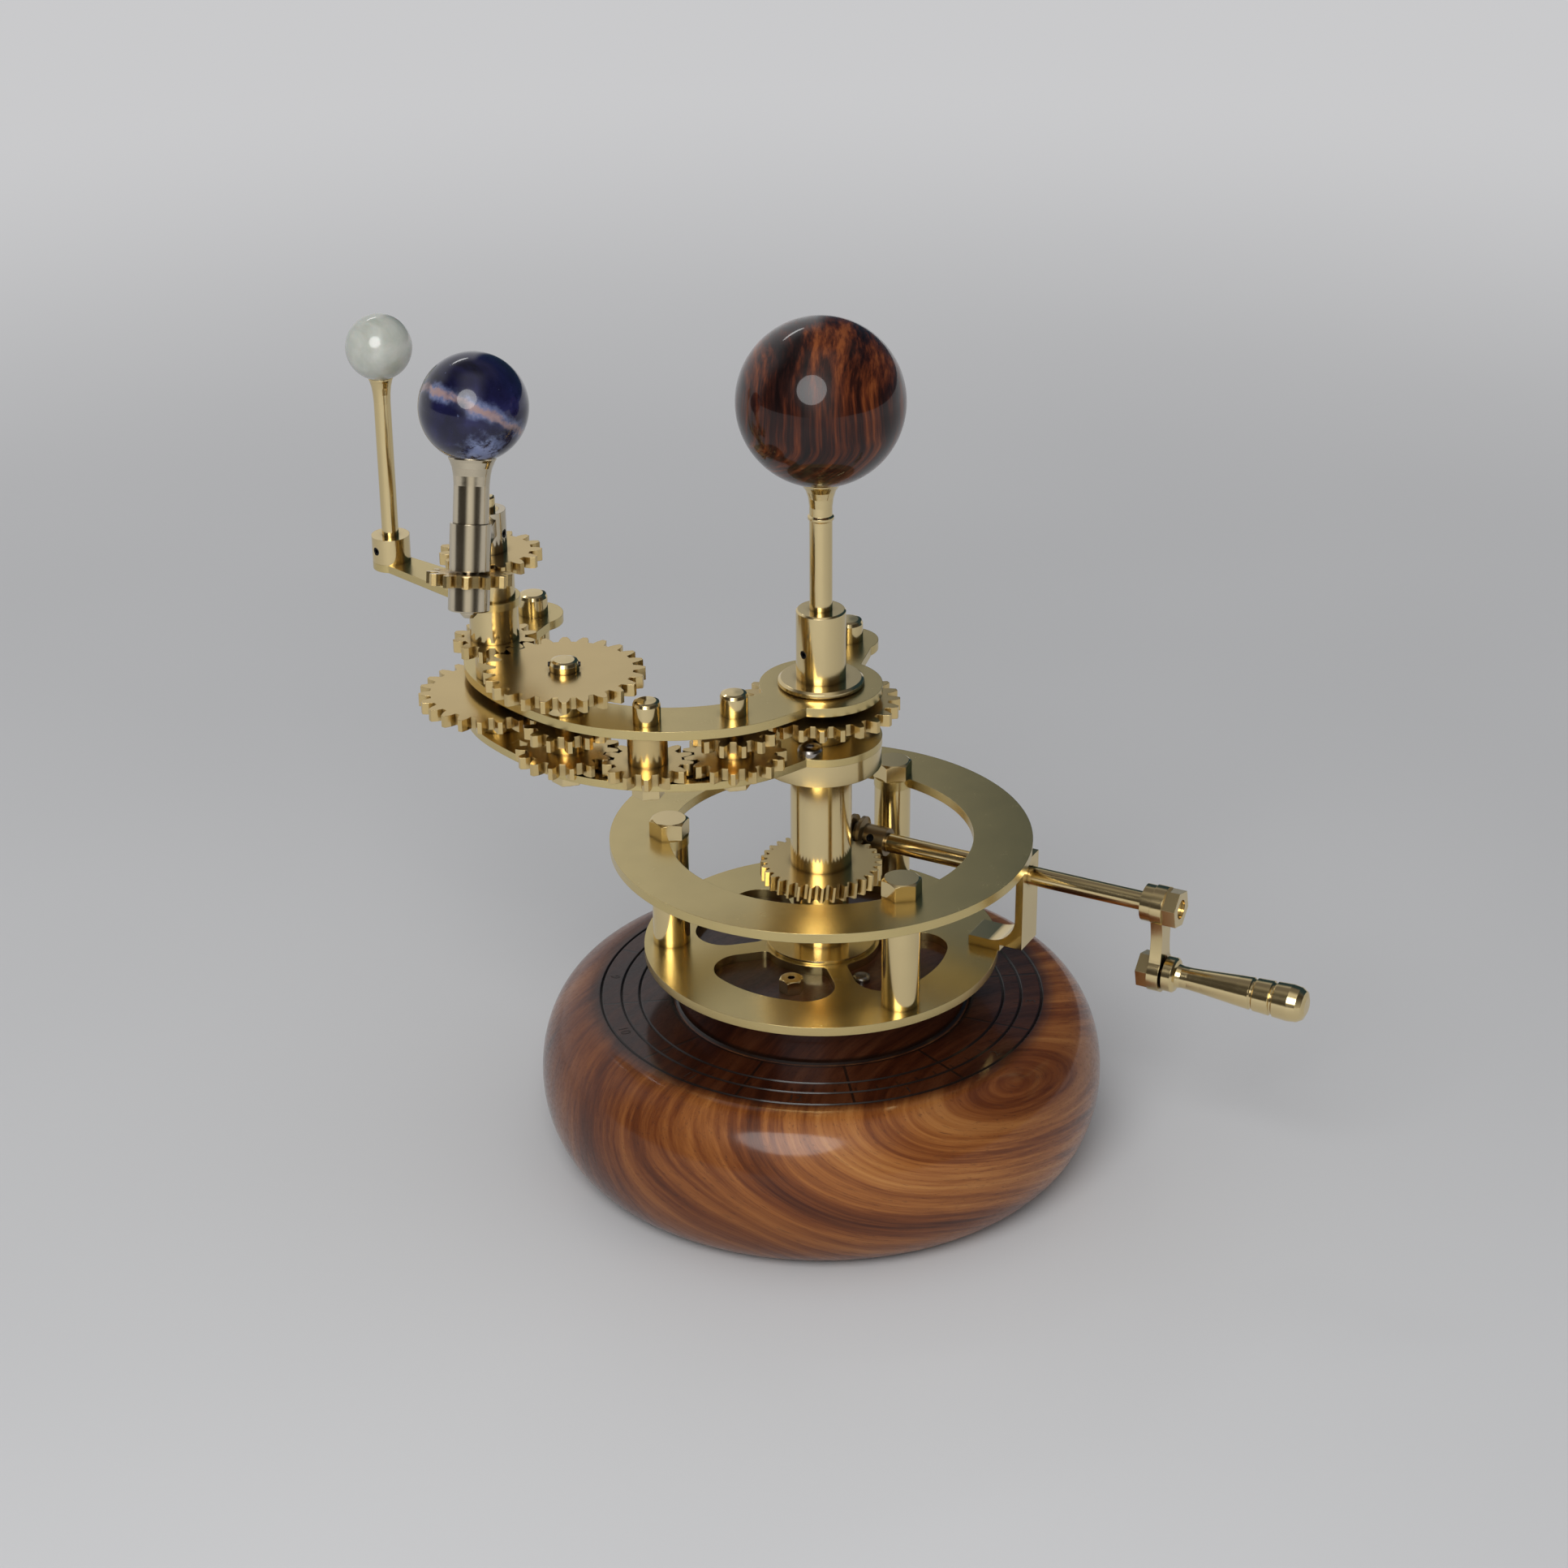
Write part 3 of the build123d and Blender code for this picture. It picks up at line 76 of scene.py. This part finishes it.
# Shaded rounding of edges and reach of the painted shade in corners, in mm
EDGE_ROUNDING = 0.12
CORNER_REACH = 2.5

# Distances from the object, in metres, where the floor starts to fade and where it has faded
FADE_START = 0.28
FADE_END = 1.1


# Shader helpers
def add(tree, kind, settings=None, inputs=None):
    made = tree.nodes.new("ShaderNode" + kind)
    for key, value in (settings or {}).items():
        setattr(made, key, value)
    for key, value in (inputs or {}).items():
        put(tree, made.inputs[key], value)
    return made


def put(tree, socket, value):
    if isinstance(value, bpy.types.NodeSocket):
        tree.links.new(value, socket)
    else:
        socket.default_value = value


def ramp(tree, factor, stops):
    made = add(tree, "ValToRGB", None, {"Fac": factor})
    elements = made.color_ramp.elements
    while len(elements) < len(stops):
        elements.new(0.5)
    for element, (position, colour) in zip(elements, stops):
        element.position = position
        element.color = (*colour, 1.0)
    return made.outputs["Color"]


def grey_ramp(tree, factor, low, high, bottom=0.0, top=1.0):
    limits = {"Value": factor, "From Min": low, "From Max": high, "To Min": bottom, "To Max": top}
    return add(tree, "MapRange", {"interpolation_type": "SMOOTHSTEP"}, limits).outputs["Result"]


def mix(tree, factor, first, second, blend="MIX"):
    made = add(tree, "Mix", {"data_type": "RGBA", "blend_type": blend})
    put(tree, made.inputs[0], factor)
    put(tree, made.inputs[6], first if isinstance(first, bpy.types.NodeSocket) else (*first, 1.0))
    put(tree, made.inputs[7], second if isinstance(second, bpy.types.NodeSocket) else (*second, 1.0))
    return made.outputs[2]


def calc(tree, operation, first, second=0.0):
    return add(tree, "Math", {"operation": operation}, {0: first, 1: second}).outputs[0]


def noise(tree, vector, scale, detail=3.0, roughness=0.5, distortion=0.0):
    values = {"Vector": vector, "Scale": scale, "Detail": detail}
    values["Roughness"] = roughness
    values["Distortion"] = distortion
    return add(tree, "TexNoise", None, values).outputs["Fac"]


# Coordinates in metres from a centre given in mm, and then turned
def place(tree, centre=(0, 0, 0), turn=(0, 0, 0)):
    coordinates = add(tree, "TexCoord").outputs["Object"]
    moved = add(tree, "Mapping", {"vector_type": "POINT"}, {"Vector": coordinates})
    moved.inputs["Location"].default_value = [-c * MM for c in centre]
    turned = add(tree, "Mapping", {"vector_type": "POINT"}, {"Vector": moved.outputs["Vector"]})
    turned.inputs["Rotation"].default_value = turn
    return turned.outputs["Vector"]


def split(tree, vector):
    return add(tree, "SeparateXYZ", None, {"Vector": vector}).outputs[:3]


def join(tree, x, y, z):
    return add(tree, "CombineXYZ", None, {"X": x, "Y": y, "Z": z}).outputs[0]


def total(tree, *shares):
    summed = None
    for socket, share in shares:
        part = calc(tree, "MULTIPLY", socket, share)
        summed = part if summed is None else calc(tree, "ADD", summed, part)
    return summed


def new_material(name):
    material = bpy.data.materials.new(name)
    material.use_nodes = True
    tree = material.node_tree
    return material, tree, tree.nodes["Principled BSDF"]


def bump(tree, height, strength, distance):
    rounded = add(tree, "Bevel", {"samples": 4}, {"Radius": EDGE_ROUNDING * MM}).outputs["Normal"]
    values = {"Height": height, "Strength": strength, "Distance": distance, "Normal": rounded}
    return add(tree, "Bump", None, values).outputs["Normal"]


# Brass in several finishes: soft patches, painted shade darkening the corners, fine grain
def brass(name, bright, dark, rough, grain, corner_shade_strength):
    material, tree, shader = new_material(name)
    where = place(tree)
    patch = noise(tree, where, 45.0, 4.0, 0.55)
    colour = ramp(tree, patch, [(0.3, bright), (0.72, [c * 0.93 for c in bright])])
    # Painted shade: the colour darkens towards the dark colour in corners and between parts, where ambient
    # occlusion finds the light blocked
    hollow = add(tree, "AmbientOcclusion", {"samples": 6}, {"Distance": CORNER_REACH * MM}).outputs["AO"]
    corner_shade = grey_ramp(tree, hollow, 0.25, 0.85, corner_shade_strength, 0.0)
    put(tree, shader.inputs["Base Color"], mix(tree, corner_shade, colour, dark))
    fine = noise(tree, where, 3200.0, 2.0, 0.6)
    smear = noise(tree, where, 130.0, 3.0, 0.6)
    both = total(tree, (fine, 0.5), (smear, 0.5))
    put(tree, shader.inputs["Roughness"], grey_ramp(tree, both, 0.3, 0.7, rough * 0.92, rough * 1.1))
    put(tree, shader.inputs["Normal"], bump(tree, fine, grain, 0.02 * MM))
    shader.inputs["Metallic"].default_value = 1.0
    return material


def steel(name, bright, rough):
    material, tree, shader = new_material(name)
    where = place(tree)
    patch = noise(tree, where, 300.0, 3.0)
    colour = ramp(tree, patch, [(0.3, bright), (0.7, [c * 0.75 for c in bright])])
    put(tree, shader.inputs["Base Color"], colour)
    put(tree, shader.inputs["Roughness"], grey_ramp(tree, patch, 0.3, 0.7, rough * 0.8, rough * 1.3))
    put(tree, shader.inputs["Normal"], bump(tree, noise(tree, where, 2500.0, 2.0), 0.15, 0.03 * MM))
    shader.inputs["Metallic"].default_value = 1.0
    return material


# Polished dark wood of the Sun: fine upright red-brown streaks that sweep aside near the bottom
def sun_wood():
    material, tree, shader = new_material("sun_wood")
    x, y, z = split(tree, place(tree, SUN_AT))
    sweep = grey_ramp(tree, z, -19.5 * MM, -5.0 * MM, 11.0 * MM, 0.0)
    bent = total(tree, (noise(tree, place(tree, SUN_AT), 40.0, 1.0), 5.0 * MM))
    across = calc(tree, "ADD", calc(tree, "ADD", x, sweep), bent)
    lengthwise = join(tree, across, total(tree, (y, 0.30)), total(tree, (z, 0.045)))
    broad = noise(tree, lengthwise, 190.0, 2.0, 0.5)
    thin = noise(tree, lengthwise, 900.0, 3.0, 0.6)
    both = total(tree, (broad, 0.55), (thin, 0.45))
    stops = [(0.40, (0.006, 0.002, 0.002)), (0.49, (0.022, 0.005, 0.003)), (0.57, (0.085, 0.018, 0.005))]
    put(tree, shader.inputs["Base Color"], ramp(tree, both, stops + [(0.66, (0.20, 0.052, 0.012))]))
    put(tree, shader.inputs["Normal"], bump(tree, thin, 0.04, 0.03 * MM))
    put(tree, shader.inputs["Roughness"], grey_ramp(tree, thin, 0.3, 0.7, 0.3, 0.42))
    shader.inputs["Specular IOR Level"].default_value = 0.1
    shader.inputs["Coat Weight"].default_value = 0.85
    shader.inputs["Coat IOR"].default_value = 1.38
    shader.inputs["Coat Roughness"].default_value = 0.05
    return material


# Amber grain of the base, curving round a knot at the right
def base_grain(tree):
    warp = calc(tree, "SUBTRACT", noise(tree, place(tree), 16.0, 1.5, 0.4), 0.5)
    u, v, w = split(tree, place(tree, KNOT_AT, GRAIN_TURN))
    u = calc(tree, "ADD", u, total(tree, (warp, 26.0 * MM)))
    v = total(tree, (v, 2.1))
    squares = total(tree, (calc(tree, "MULTIPLY", u, u), 1.0), (calc(tree, "MULTIPLY", v, v), 1.0))
    from_knot = calc(tree, "SQRT", calc(tree, "ADD", squares, (KNOT_RADIUS * MM) ** 2))
    flow = join(tree, from_knot, total(tree, (u, 0.06), (v, 0.05)), total(tree, (w, 0.10)))
    broad = noise(tree, flow, 70.0, 2.0, 0.5)
    lines = noise(tree, flow, 380.0, 4.0, 0.66)
    short_flow = join(tree, from_knot, total(tree, (u, 0.3), (v, 0.3)), total(tree, (w, 0.4)))
    pores = noise(tree, short_flow, 1500.0, 3.0, 0.7)
    both = total(tree, (broad, 0.5), (lines, 0.5))
    wood = ramp(tree, both, [
        (0.33, (0.060, 0.013, 0.003)),
        (0.45, (0.165, 0.045, 0.009)),
        (0.54, (0.29, 0.100, 0.022)),
        (0.66, (0.42, 0.180, 0.048)),
    ])
    age = ramp(tree, total(tree, (from_knot, 5.0)), [
        (0.07, (0.50, 0.40, 0.36)),
        (0.17, (1, 1, 1)),
        (0.34, (1, 1, 1)),
        (0.55, (0.52, 0.42, 0.36)),
    ])
    wood = mix(tree, 1.0, wood, age, "MULTIPLY")
    wood = mix(tree, grey_ramp(tree, pores, 0.56, 0.72, 0.0, 0.5), wood, (0.045, 0.014, 0.006))
    return wood, lines, pores


# Burnt rings, division lines and ticks on the base's top, a painted shadow line at the boss's foot, and
# the darkening inside the outer ring, partly stain and partly painted shade
def base_marks(tree):
    x, y, z = split(tree, add(tree, "TexCoord").outputs["Object"])
    squares = calc(tree, "ADD", calc(tree, "MULTIPLY", x, x), calc(tree, "MULTIPLY", y, y))
    radius = calc(tree, "SQRT", squares)
    angle = calc(tree, "ARCTAN2", y, x)
    outer = RING_RADII[2]

    burnt_rings_and_foot_shade = None
    # The first ring, just outside the boss's foot, is a painted shadow line where the boss meets the top;
    # the others are burnt lines
    for ring_radius, width in [(BOSS_RADIUS + 0.9, 1.5), *[(r, 0.55) for r in RING_RADII]]:
        distance = calc(tree, "ABSOLUTE", calc(tree, "SUBTRACT", radius, ring_radius * MM))
        line = grey_ramp(tree, distance, width * 0.5 * MM, width * 1.1 * MM, 0.9, 0.0)
        burnt_rings_and_foot_shade = line if burnt_rings_and_foot_shade is None else calc(tree, "MAXIMUM", burnt_rings_and_foot_shade, line)

    turns = calc(tree, "MULTIPLY", angle, DIVISIONS / math.tau)
    share = calc(tree, "FRACT", calc(tree, "ADD", turns, 20.25))
    off_line = calc(tree, "MULTIPLY", calc(tree, "ABSOLUTE", calc(tree, "SUBTRACT", share, 0.5)), radius)
    spoke = grey_ramp(tree, off_line, 0.4 * MM, 0.9 * MM, 0.85, 0.0)

    step = calc(tree, "FRACT", calc(tree, "MULTIPLY", angle, TICKS / math.tau))
    tick = grey_ramp(tree, calc(tree, "ABSOLUTE", calc(tree, "SUBTRACT", step, 0.5)), 0.03, 0.07, 0.6, 0.0)
    tick = calc(tree, "MULTIPLY", tick, grey_ramp(tree, radius, 48.4 * MM, 48.8 * MM))
    tick = calc(tree, "MULTIPLY", tick, grey_ramp(tree, radius, 50.4 * MM, 50.7 * MM, 1.0, 0.0))

    within_outer = grey_ramp(tree, radius, outer * MM, (outer + 0.3) * MM, 1.0, 0.0)
    band = calc(tree, "MULTIPLY", grey_ramp(tree, radius, 37.0 * MM, 37.4 * MM), within_outer)
    marks_and_foot_shade = calc(tree, "MAXIMUM", burnt_rings_and_foot_shade, calc(tree, "MULTIPLY", calc(tree, "MAXIMUM", spoke, tick), band))
    on_top = grey_ramp(tree, z, (BASE_TOP - 0.9) * MM, (BASE_TOP - 0.2) * MM)
    below_boss = grey_ramp(tree, z, (BASE_TOP + 0.4) * MM, (BASE_TOP + 1.6) * MM, 1.0, 0.0)
    marks_and_foot_shade = calc(tree, "MULTIPLY", calc(tree, "MULTIPLY", marks_and_foot_shade, on_top), below_boss)
    # Painted shade and stain: inside the outer ring the top is darkened partly as a stain and partly as
    # the shade under the plates
    inside = grey_ramp(tree, radius, (outer - 0.5) * MM, (outer + 5.0) * MM, 1.0, 0.0)
    return marks_and_foot_shade, calc(tree, "MULTIPLY", inside, on_top)


# Lacquered base: grain, a top darkened partly by stain and partly by painted shade, burnt rings and lines,
# and a painted shadow line at the boss's foot
def base_wood():
    material, tree, shader = new_material("base_wood")
    wood, lines, pores = base_grain(tree)
    marks_and_foot_shade, stain_and_shade = base_marks(tree)
    stained_shaded_wood = mix(tree, stain_and_shade, wood, (0.20, 0.15, 0.20), "MULTIPLY")
    # Burnt marks and the painted shadow line at the boss's foot are mixed in near black
    put(tree, shader.inputs["Base Color"], mix(tree, marks_and_foot_shade, stained_shaded_wood, (0.005, 0.003, 0.002)))
    depth = calc(tree, "SUBTRACT", calc(tree, "MULTIPLY", lines, 0.15), marks_and_foot_shade)
    put(tree, shader.inputs["Normal"], bump(tree, depth, 0.3, 0.1 * MM))
    put(tree, shader.inputs["Roughness"], grey_ramp(tree, pores, 0.3, 0.7, 0.35, 0.5))
    shader.inputs["Specular IOR Level"].default_value = 0.15
    shader.inputs["Coat Weight"].default_value = 0.75
    shader.inputs["Coat IOR"].default_value = 1.38
    shader.inputs["Coat Roughness"].default_value = 0.13
    return material


# Deep blue stone of the Earth: a tan vein aslant through the middle, pale cloud below it
def earth_stone():
    material, tree, shader = new_material("earth_stone")
    where = place(tree, EARTH_AT)
    depth = noise(tree, where, 70.0, 4.0, 0.6, 0.4)
    stone = ramp(tree, depth, [
        (0.35, (0.003, 0.003, 0.011)),
        (0.55, (0.009, 0.009, 0.042)),
        (0.75, (0.028, 0.030, 0.115)),
    ])

    x, y, z = split(tree, where)
    ragged = calc(tree, "SUBTRACT", noise(tree, where, 260.0, 5.0, 0.7), 0.5)
    aslant = total(tree, (x, 0.42), (y, 0.40), (z, 0.82), (ragged, 5.0 * MM))
    off_vein = calc(tree, "ABSOLUTE", calc(tree, "ADD", aslant, 0.9 * MM))
    patchy = noise(tree, where, 120.0, 3.0, 0.6)
    vein = grey_ramp(tree, off_vein, 0.1 * MM, 1.3 * MM, 0.85, 0.0)
    vein = calc(tree, "MULTIPLY", vein, grey_ramp(tree, patchy, 0.36, 0.58, 0.25, 1.0))
    halo = grey_ramp(tree, off_vein, 0.6 * MM, 2.8 * MM, 0.6, 0.0)
    halo = calc(tree, "MULTIPLY", halo, grey_ramp(tree, patchy, 0.42, 0.60, 0.1, 1.0))

    cloud_at = [c * MM for c in EARTH_CLOUD]
    off_cloud = add(tree, "VectorMath", {"operation": "DISTANCE"}, {0: where, 1: cloud_at})
    off_cloud = calc(tree, "ADD", off_cloud.outputs["Value"], total(tree, (ragged, 9.0 * MM)))
    cloud = grey_ramp(tree, off_cloud, 1.5 * MM, 7.0 * MM, 0.9, 0.0)
    wisps = grey_ramp(tree, noise(tree, where, 420.0, 4.0, 0.7), 0.36, 0.56)
    cloud = calc(tree, "MULTIPLY", cloud, wisps)
    flecks = grey_ramp(tree, noise(tree, where, 330.0, 3.0, 0.7), 0.66, 0.74, 0.0, 0.3)
    pale = calc(tree, "MAXIMUM", calc(tree, "MAXIMUM", cloud, halo), flecks)
    colour = mix(tree, pale, stone, (0.22, 0.27, 0.46))

    put(tree, shader.inputs["Base Color"], mix(tree, vein, colour, (0.33, 0.21, 0.18)))
    put(tree, shader.inputs["Roughness"], grey_ramp(tree, depth, 0.3, 0.7, 0.12, 0.2))
    shader.inputs["Specular IOR Level"].default_value = 0.2
    shader.inputs["Coat Weight"].default_value = 0.8
    shader.inputs["Coat IOR"].default_value = 1.42
    shader.inputs["Coat Roughness"].default_value = 0.03
    return material


def moon_stone():
    material, tree, shader = new_material("moon_stone")
    where = place(tree, MOON_AT)
    cloud = noise(tree, where, 110.0, 4.0, 0.6, 0.5)
    stops = [(0.3, (0.34, 0.36, 0.31)), (0.55, (0.46, 0.47, 0.42)), (0.75, (0.56, 0.57, 0.52))]
    put(tree, shader.inputs["Base Color"], ramp(tree, cloud, stops))
    put(tree, shader.inputs["Roughness"], grey_ramp(tree, cloud, 0.3, 0.7, 0.15, 0.25))
    shader.inputs["Subsurface Weight"].default_value = 0.15
    shader.inputs["Subsurface Scale"].default_value = 2.0 * MM
    shader.inputs["Coat Weight"].default_value = 0.6
    shader.inputs["Coat Roughness"].default_value = 0.04
    return material


materials = {
    "plate_brass": brass("plate_brass", (0.72, 0.575, 0.265), (0.12, 0.075, 0.02), 0.25, 0.05, 0.5),
    "turned_brass": brass("turned_brass", (0.80, 0.64, 0.34), (0.12, 0.06, 0.02), 0.15, 0.04, 0.7),
    "gear_brass": brass("gear_brass", (0.74, 0.56, 0.26), (0.08, 0.042, 0.012), 0.22, 0.10, 0.85),
    "worm_brass": brass("worm_brass", (0.26, 0.19, 0.10), (0.03, 0.02, 0.01), 0.3, 0.15, 0.85),
    "nickel_silver": brass("nickel_silver", (0.66, 0.58, 0.43), (0.10, 0.07, 0.035), 0.14, 0.05, 0.7),
    "screw_steel": steel("screw_steel", (0.42, 0.39, 0.36), 0.2),
    "black_steel": steel("black_steel", (0.02, 0.02, 0.022), 0.3),
    "sun_wood": sun_wood(),
    "base_wood": base_wood(),
    "earth_stone": earth_stone(),
    "moon_stone": moon_stone(),
}
for name, piece in nodes.items():
    piece.data.materials.clear()
    piece.data.materials.append(materials[slot_of[name]])


# Plain numbers burnt into the outer ring of the base
def ink():
    material, tree, shader = new_material("ring_ink")
    patch = noise(tree, place(tree), 900.0, 2.0)
    colour = ramp(tree, patch, [(0.3, (0.006, 0.003, 0.002)), (0.7, (0.02, 0.009, 0.005))])
    put(tree, shader.inputs["Base Color"], colour)
    put(tree, shader.inputs["Roughness"], grey_ramp(tree, patch, 0.3, 0.7, 0.35, 0.55))
    return material


ring_ink = ink()
for index in range(DIVISIONS):
    angle = math.tau * (index + 0.75) / DIVISIONS - math.pi / 2
    text = bpy.data.curves.new(f"ring_number_{index + 1}", "FONT")
    text.body = str(index + 1)
    text.size = NUMBER_SIZE * MM
    text.align_x = "CENTER"
    text.align_y = "CENTER"
    text.extrude = NUMBER_THICKNESS * MM
    number = bpy.data.objects.new(f"ring_number_{index + 1}", text)
    number.data.materials.append(ring_ink)
    scene.collection.objects.link(number)
    radius = (RING_RADII[1] + RING_RADII[2]) / 2
    spot = Vector((radius * math.cos(angle), radius * math.sin(angle), BASE_TOP + NUMBER_THICKNESS)) * MM
    number.matrix_world = Matrix.Translation(spot) @ Matrix.Rotation(angle + math.pi / 2, 4, "Z")
    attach(number, "base")


# Floor: matt and shaded near the object, fading into the backdrop further out
def floor_material():
    material, tree, shader = new_material("floor")
    where = place(tree)
    patch = noise(tree, where, 3.0, 2.0)
    colour = ramp(tree, patch, [(0.3, (0.57, 0.57, 0.575)), (0.7, (0.61, 0.61, 0.615))])
    put(tree, shader.inputs["Base Color"], colour)
    put(tree, shader.inputs["Roughness"], grey_ramp(tree, patch, 0.3, 0.7, 0.75, 0.85))
    shader.inputs["Specular IOR Level"].default_value = 0.2
    reach = add(tree, "VectorMath", {"operation": "LENGTH"}, {0: where}).outputs["Value"]
    path = add(tree, "LightPath").outputs
    sharp = calc(tree, "MAXIMUM", path["Is Glossy Ray"], path["Is Transmission Ray"])
    direct = calc(tree, "MAXIMUM", path["Is Camera Ray"], sharp)
    far = calc(tree, "MULTIPLY", grey_ramp(tree, reach, FADE_START, FADE_END), direct)
    plain = add(tree, "Emission", None, {"Color": (*BACKDROP, 1), "Strength": 1.0})
    blend = add(tree, "MixShader", None, {0: far, 1: shader.outputs[0], 2: plain.outputs[0]})
    tree.links.new(blend.outputs[0], tree.nodes["Material Output"].inputs["Surface"])
    return material


bpy.ops.mesh.primitive_plane_add(size=9.0, location=(0, 0, 0))
floor = bpy.context.object
floor.name = "floor"
floor.data.materials.append(floor_material())


# Soft studio light
def area(name, at, aim, width, height, power):
    light = bpy.data.lights.new(name, "AREA")
    light.shape = "ELLIPSE"
    light.size = width
    light.size_y = height
    light.energy = power
    lamp = bpy.data.objects.new(name, light)
    scene.collection.objects.link(lamp)
    lamp.location = at
    lamp.rotation_euler = (Vector(aim) - Vector(at)).to_track_quat("-Z", "Y").to_euler()


area("front", (-0.19, -0.70, 0.68), (0, 0, 0.1), 0.62, 0.62, 5.2)
area("strip", (-0.44, 0.88, 1.04), (0, 0, 0.19), 0.45, 0.07, 0.5)

world = bpy.data.worlds.new("studio")
scene.world = world
world.use_nodes = True
sky = world.node_tree
sky.nodes.clear()
# Backdrop for the camera, a room with a pale and a dark side for reflections, soft light for the rest
rays = add(sky, "LightPath")
east, north, height = split(sky, add(sky, "TexCoord").outputs["Generated"])
seen = add(sky, "Background", None, {"Color": (*BACKDROP, 1), "Strength": 1.0})
sideways = grey_ramp(sky, east, -0.05, 0.08)
wall = ramp(sky, sideways, [(0.0, (0.62, 0.62, 0.63)), (1.0, (0.02, 0.045, 0.07))])
overhead = mix(sky, grey_ramp(sky, height, 0.62, 0.85), wall, (0.16, 0.15, 0.15))
off_middle = grey_ramp(sky, calc(sky, "ABSOLUTE", east), 0.12, 0.6)
opening = mix(sky, off_middle, (0.66, 0.64, 0.60), (0.045, 0.04, 0.035))
room = mix(sky, grey_ramp(sky, north, -0.15, 0.25, 1.0, 0.0), overhead, opening)
mirrored = add(sky, "Background", None, {"Color": room, "Strength": 1.0})
soft = add(sky, "Background", None, {"Color": (0.97, 0.98, 1.0, 1), "Strength": 0.50})
sharp_ray = calc(sky, "MAXIMUM", rays.outputs["Is Glossy Ray"], rays.outputs["Is Transmission Ray"])
inner = add(sky, "MixShader", None, {0: sharp_ray, 1: soft.outputs[0], 2: mirrored.outputs[0]})
camera_ray = rays.outputs["Is Camera Ray"]
outer = add(sky, "MixShader", None, {0: camera_ray, 1: inner.outputs[0], 2: seen.outputs[0]})
sky.links.new(outer.outputs[0], add(sky, "OutputWorld").inputs["Surface"])

# Camera
lens = bpy.data.cameras.new("camera")
lens.lens = CAMERA_LENS
lens.sensor_width = 36.0
lens.sensor_fit = "HORIZONTAL"
lens.clip_start = 0.01
lens.clip_end = 50.0
camera = bpy.data.objects.new("camera", lens)
scene.collection.objects.link(camera)
forward = Vector((0, math.cos(CAMERA_PITCH), -math.sin(CAMERA_PITCH)))
right = Vector((1, 0, 0))
up = right.cross(forward)
rolled_right = math.cos(CAMERA_ROLL) * right + math.sin(CAMERA_ROLL) * up
rolled_up = -math.sin(CAMERA_ROLL) * right + math.cos(CAMERA_ROLL) * up
axes = Matrix((rolled_right, rolled_up, -forward)).transposed()
camera.matrix_world = Matrix.Translation(CAMERA_AT) @ axes.to_4x4()
scene.camera = camera
scene.view_settings.view_transform = "Standard"
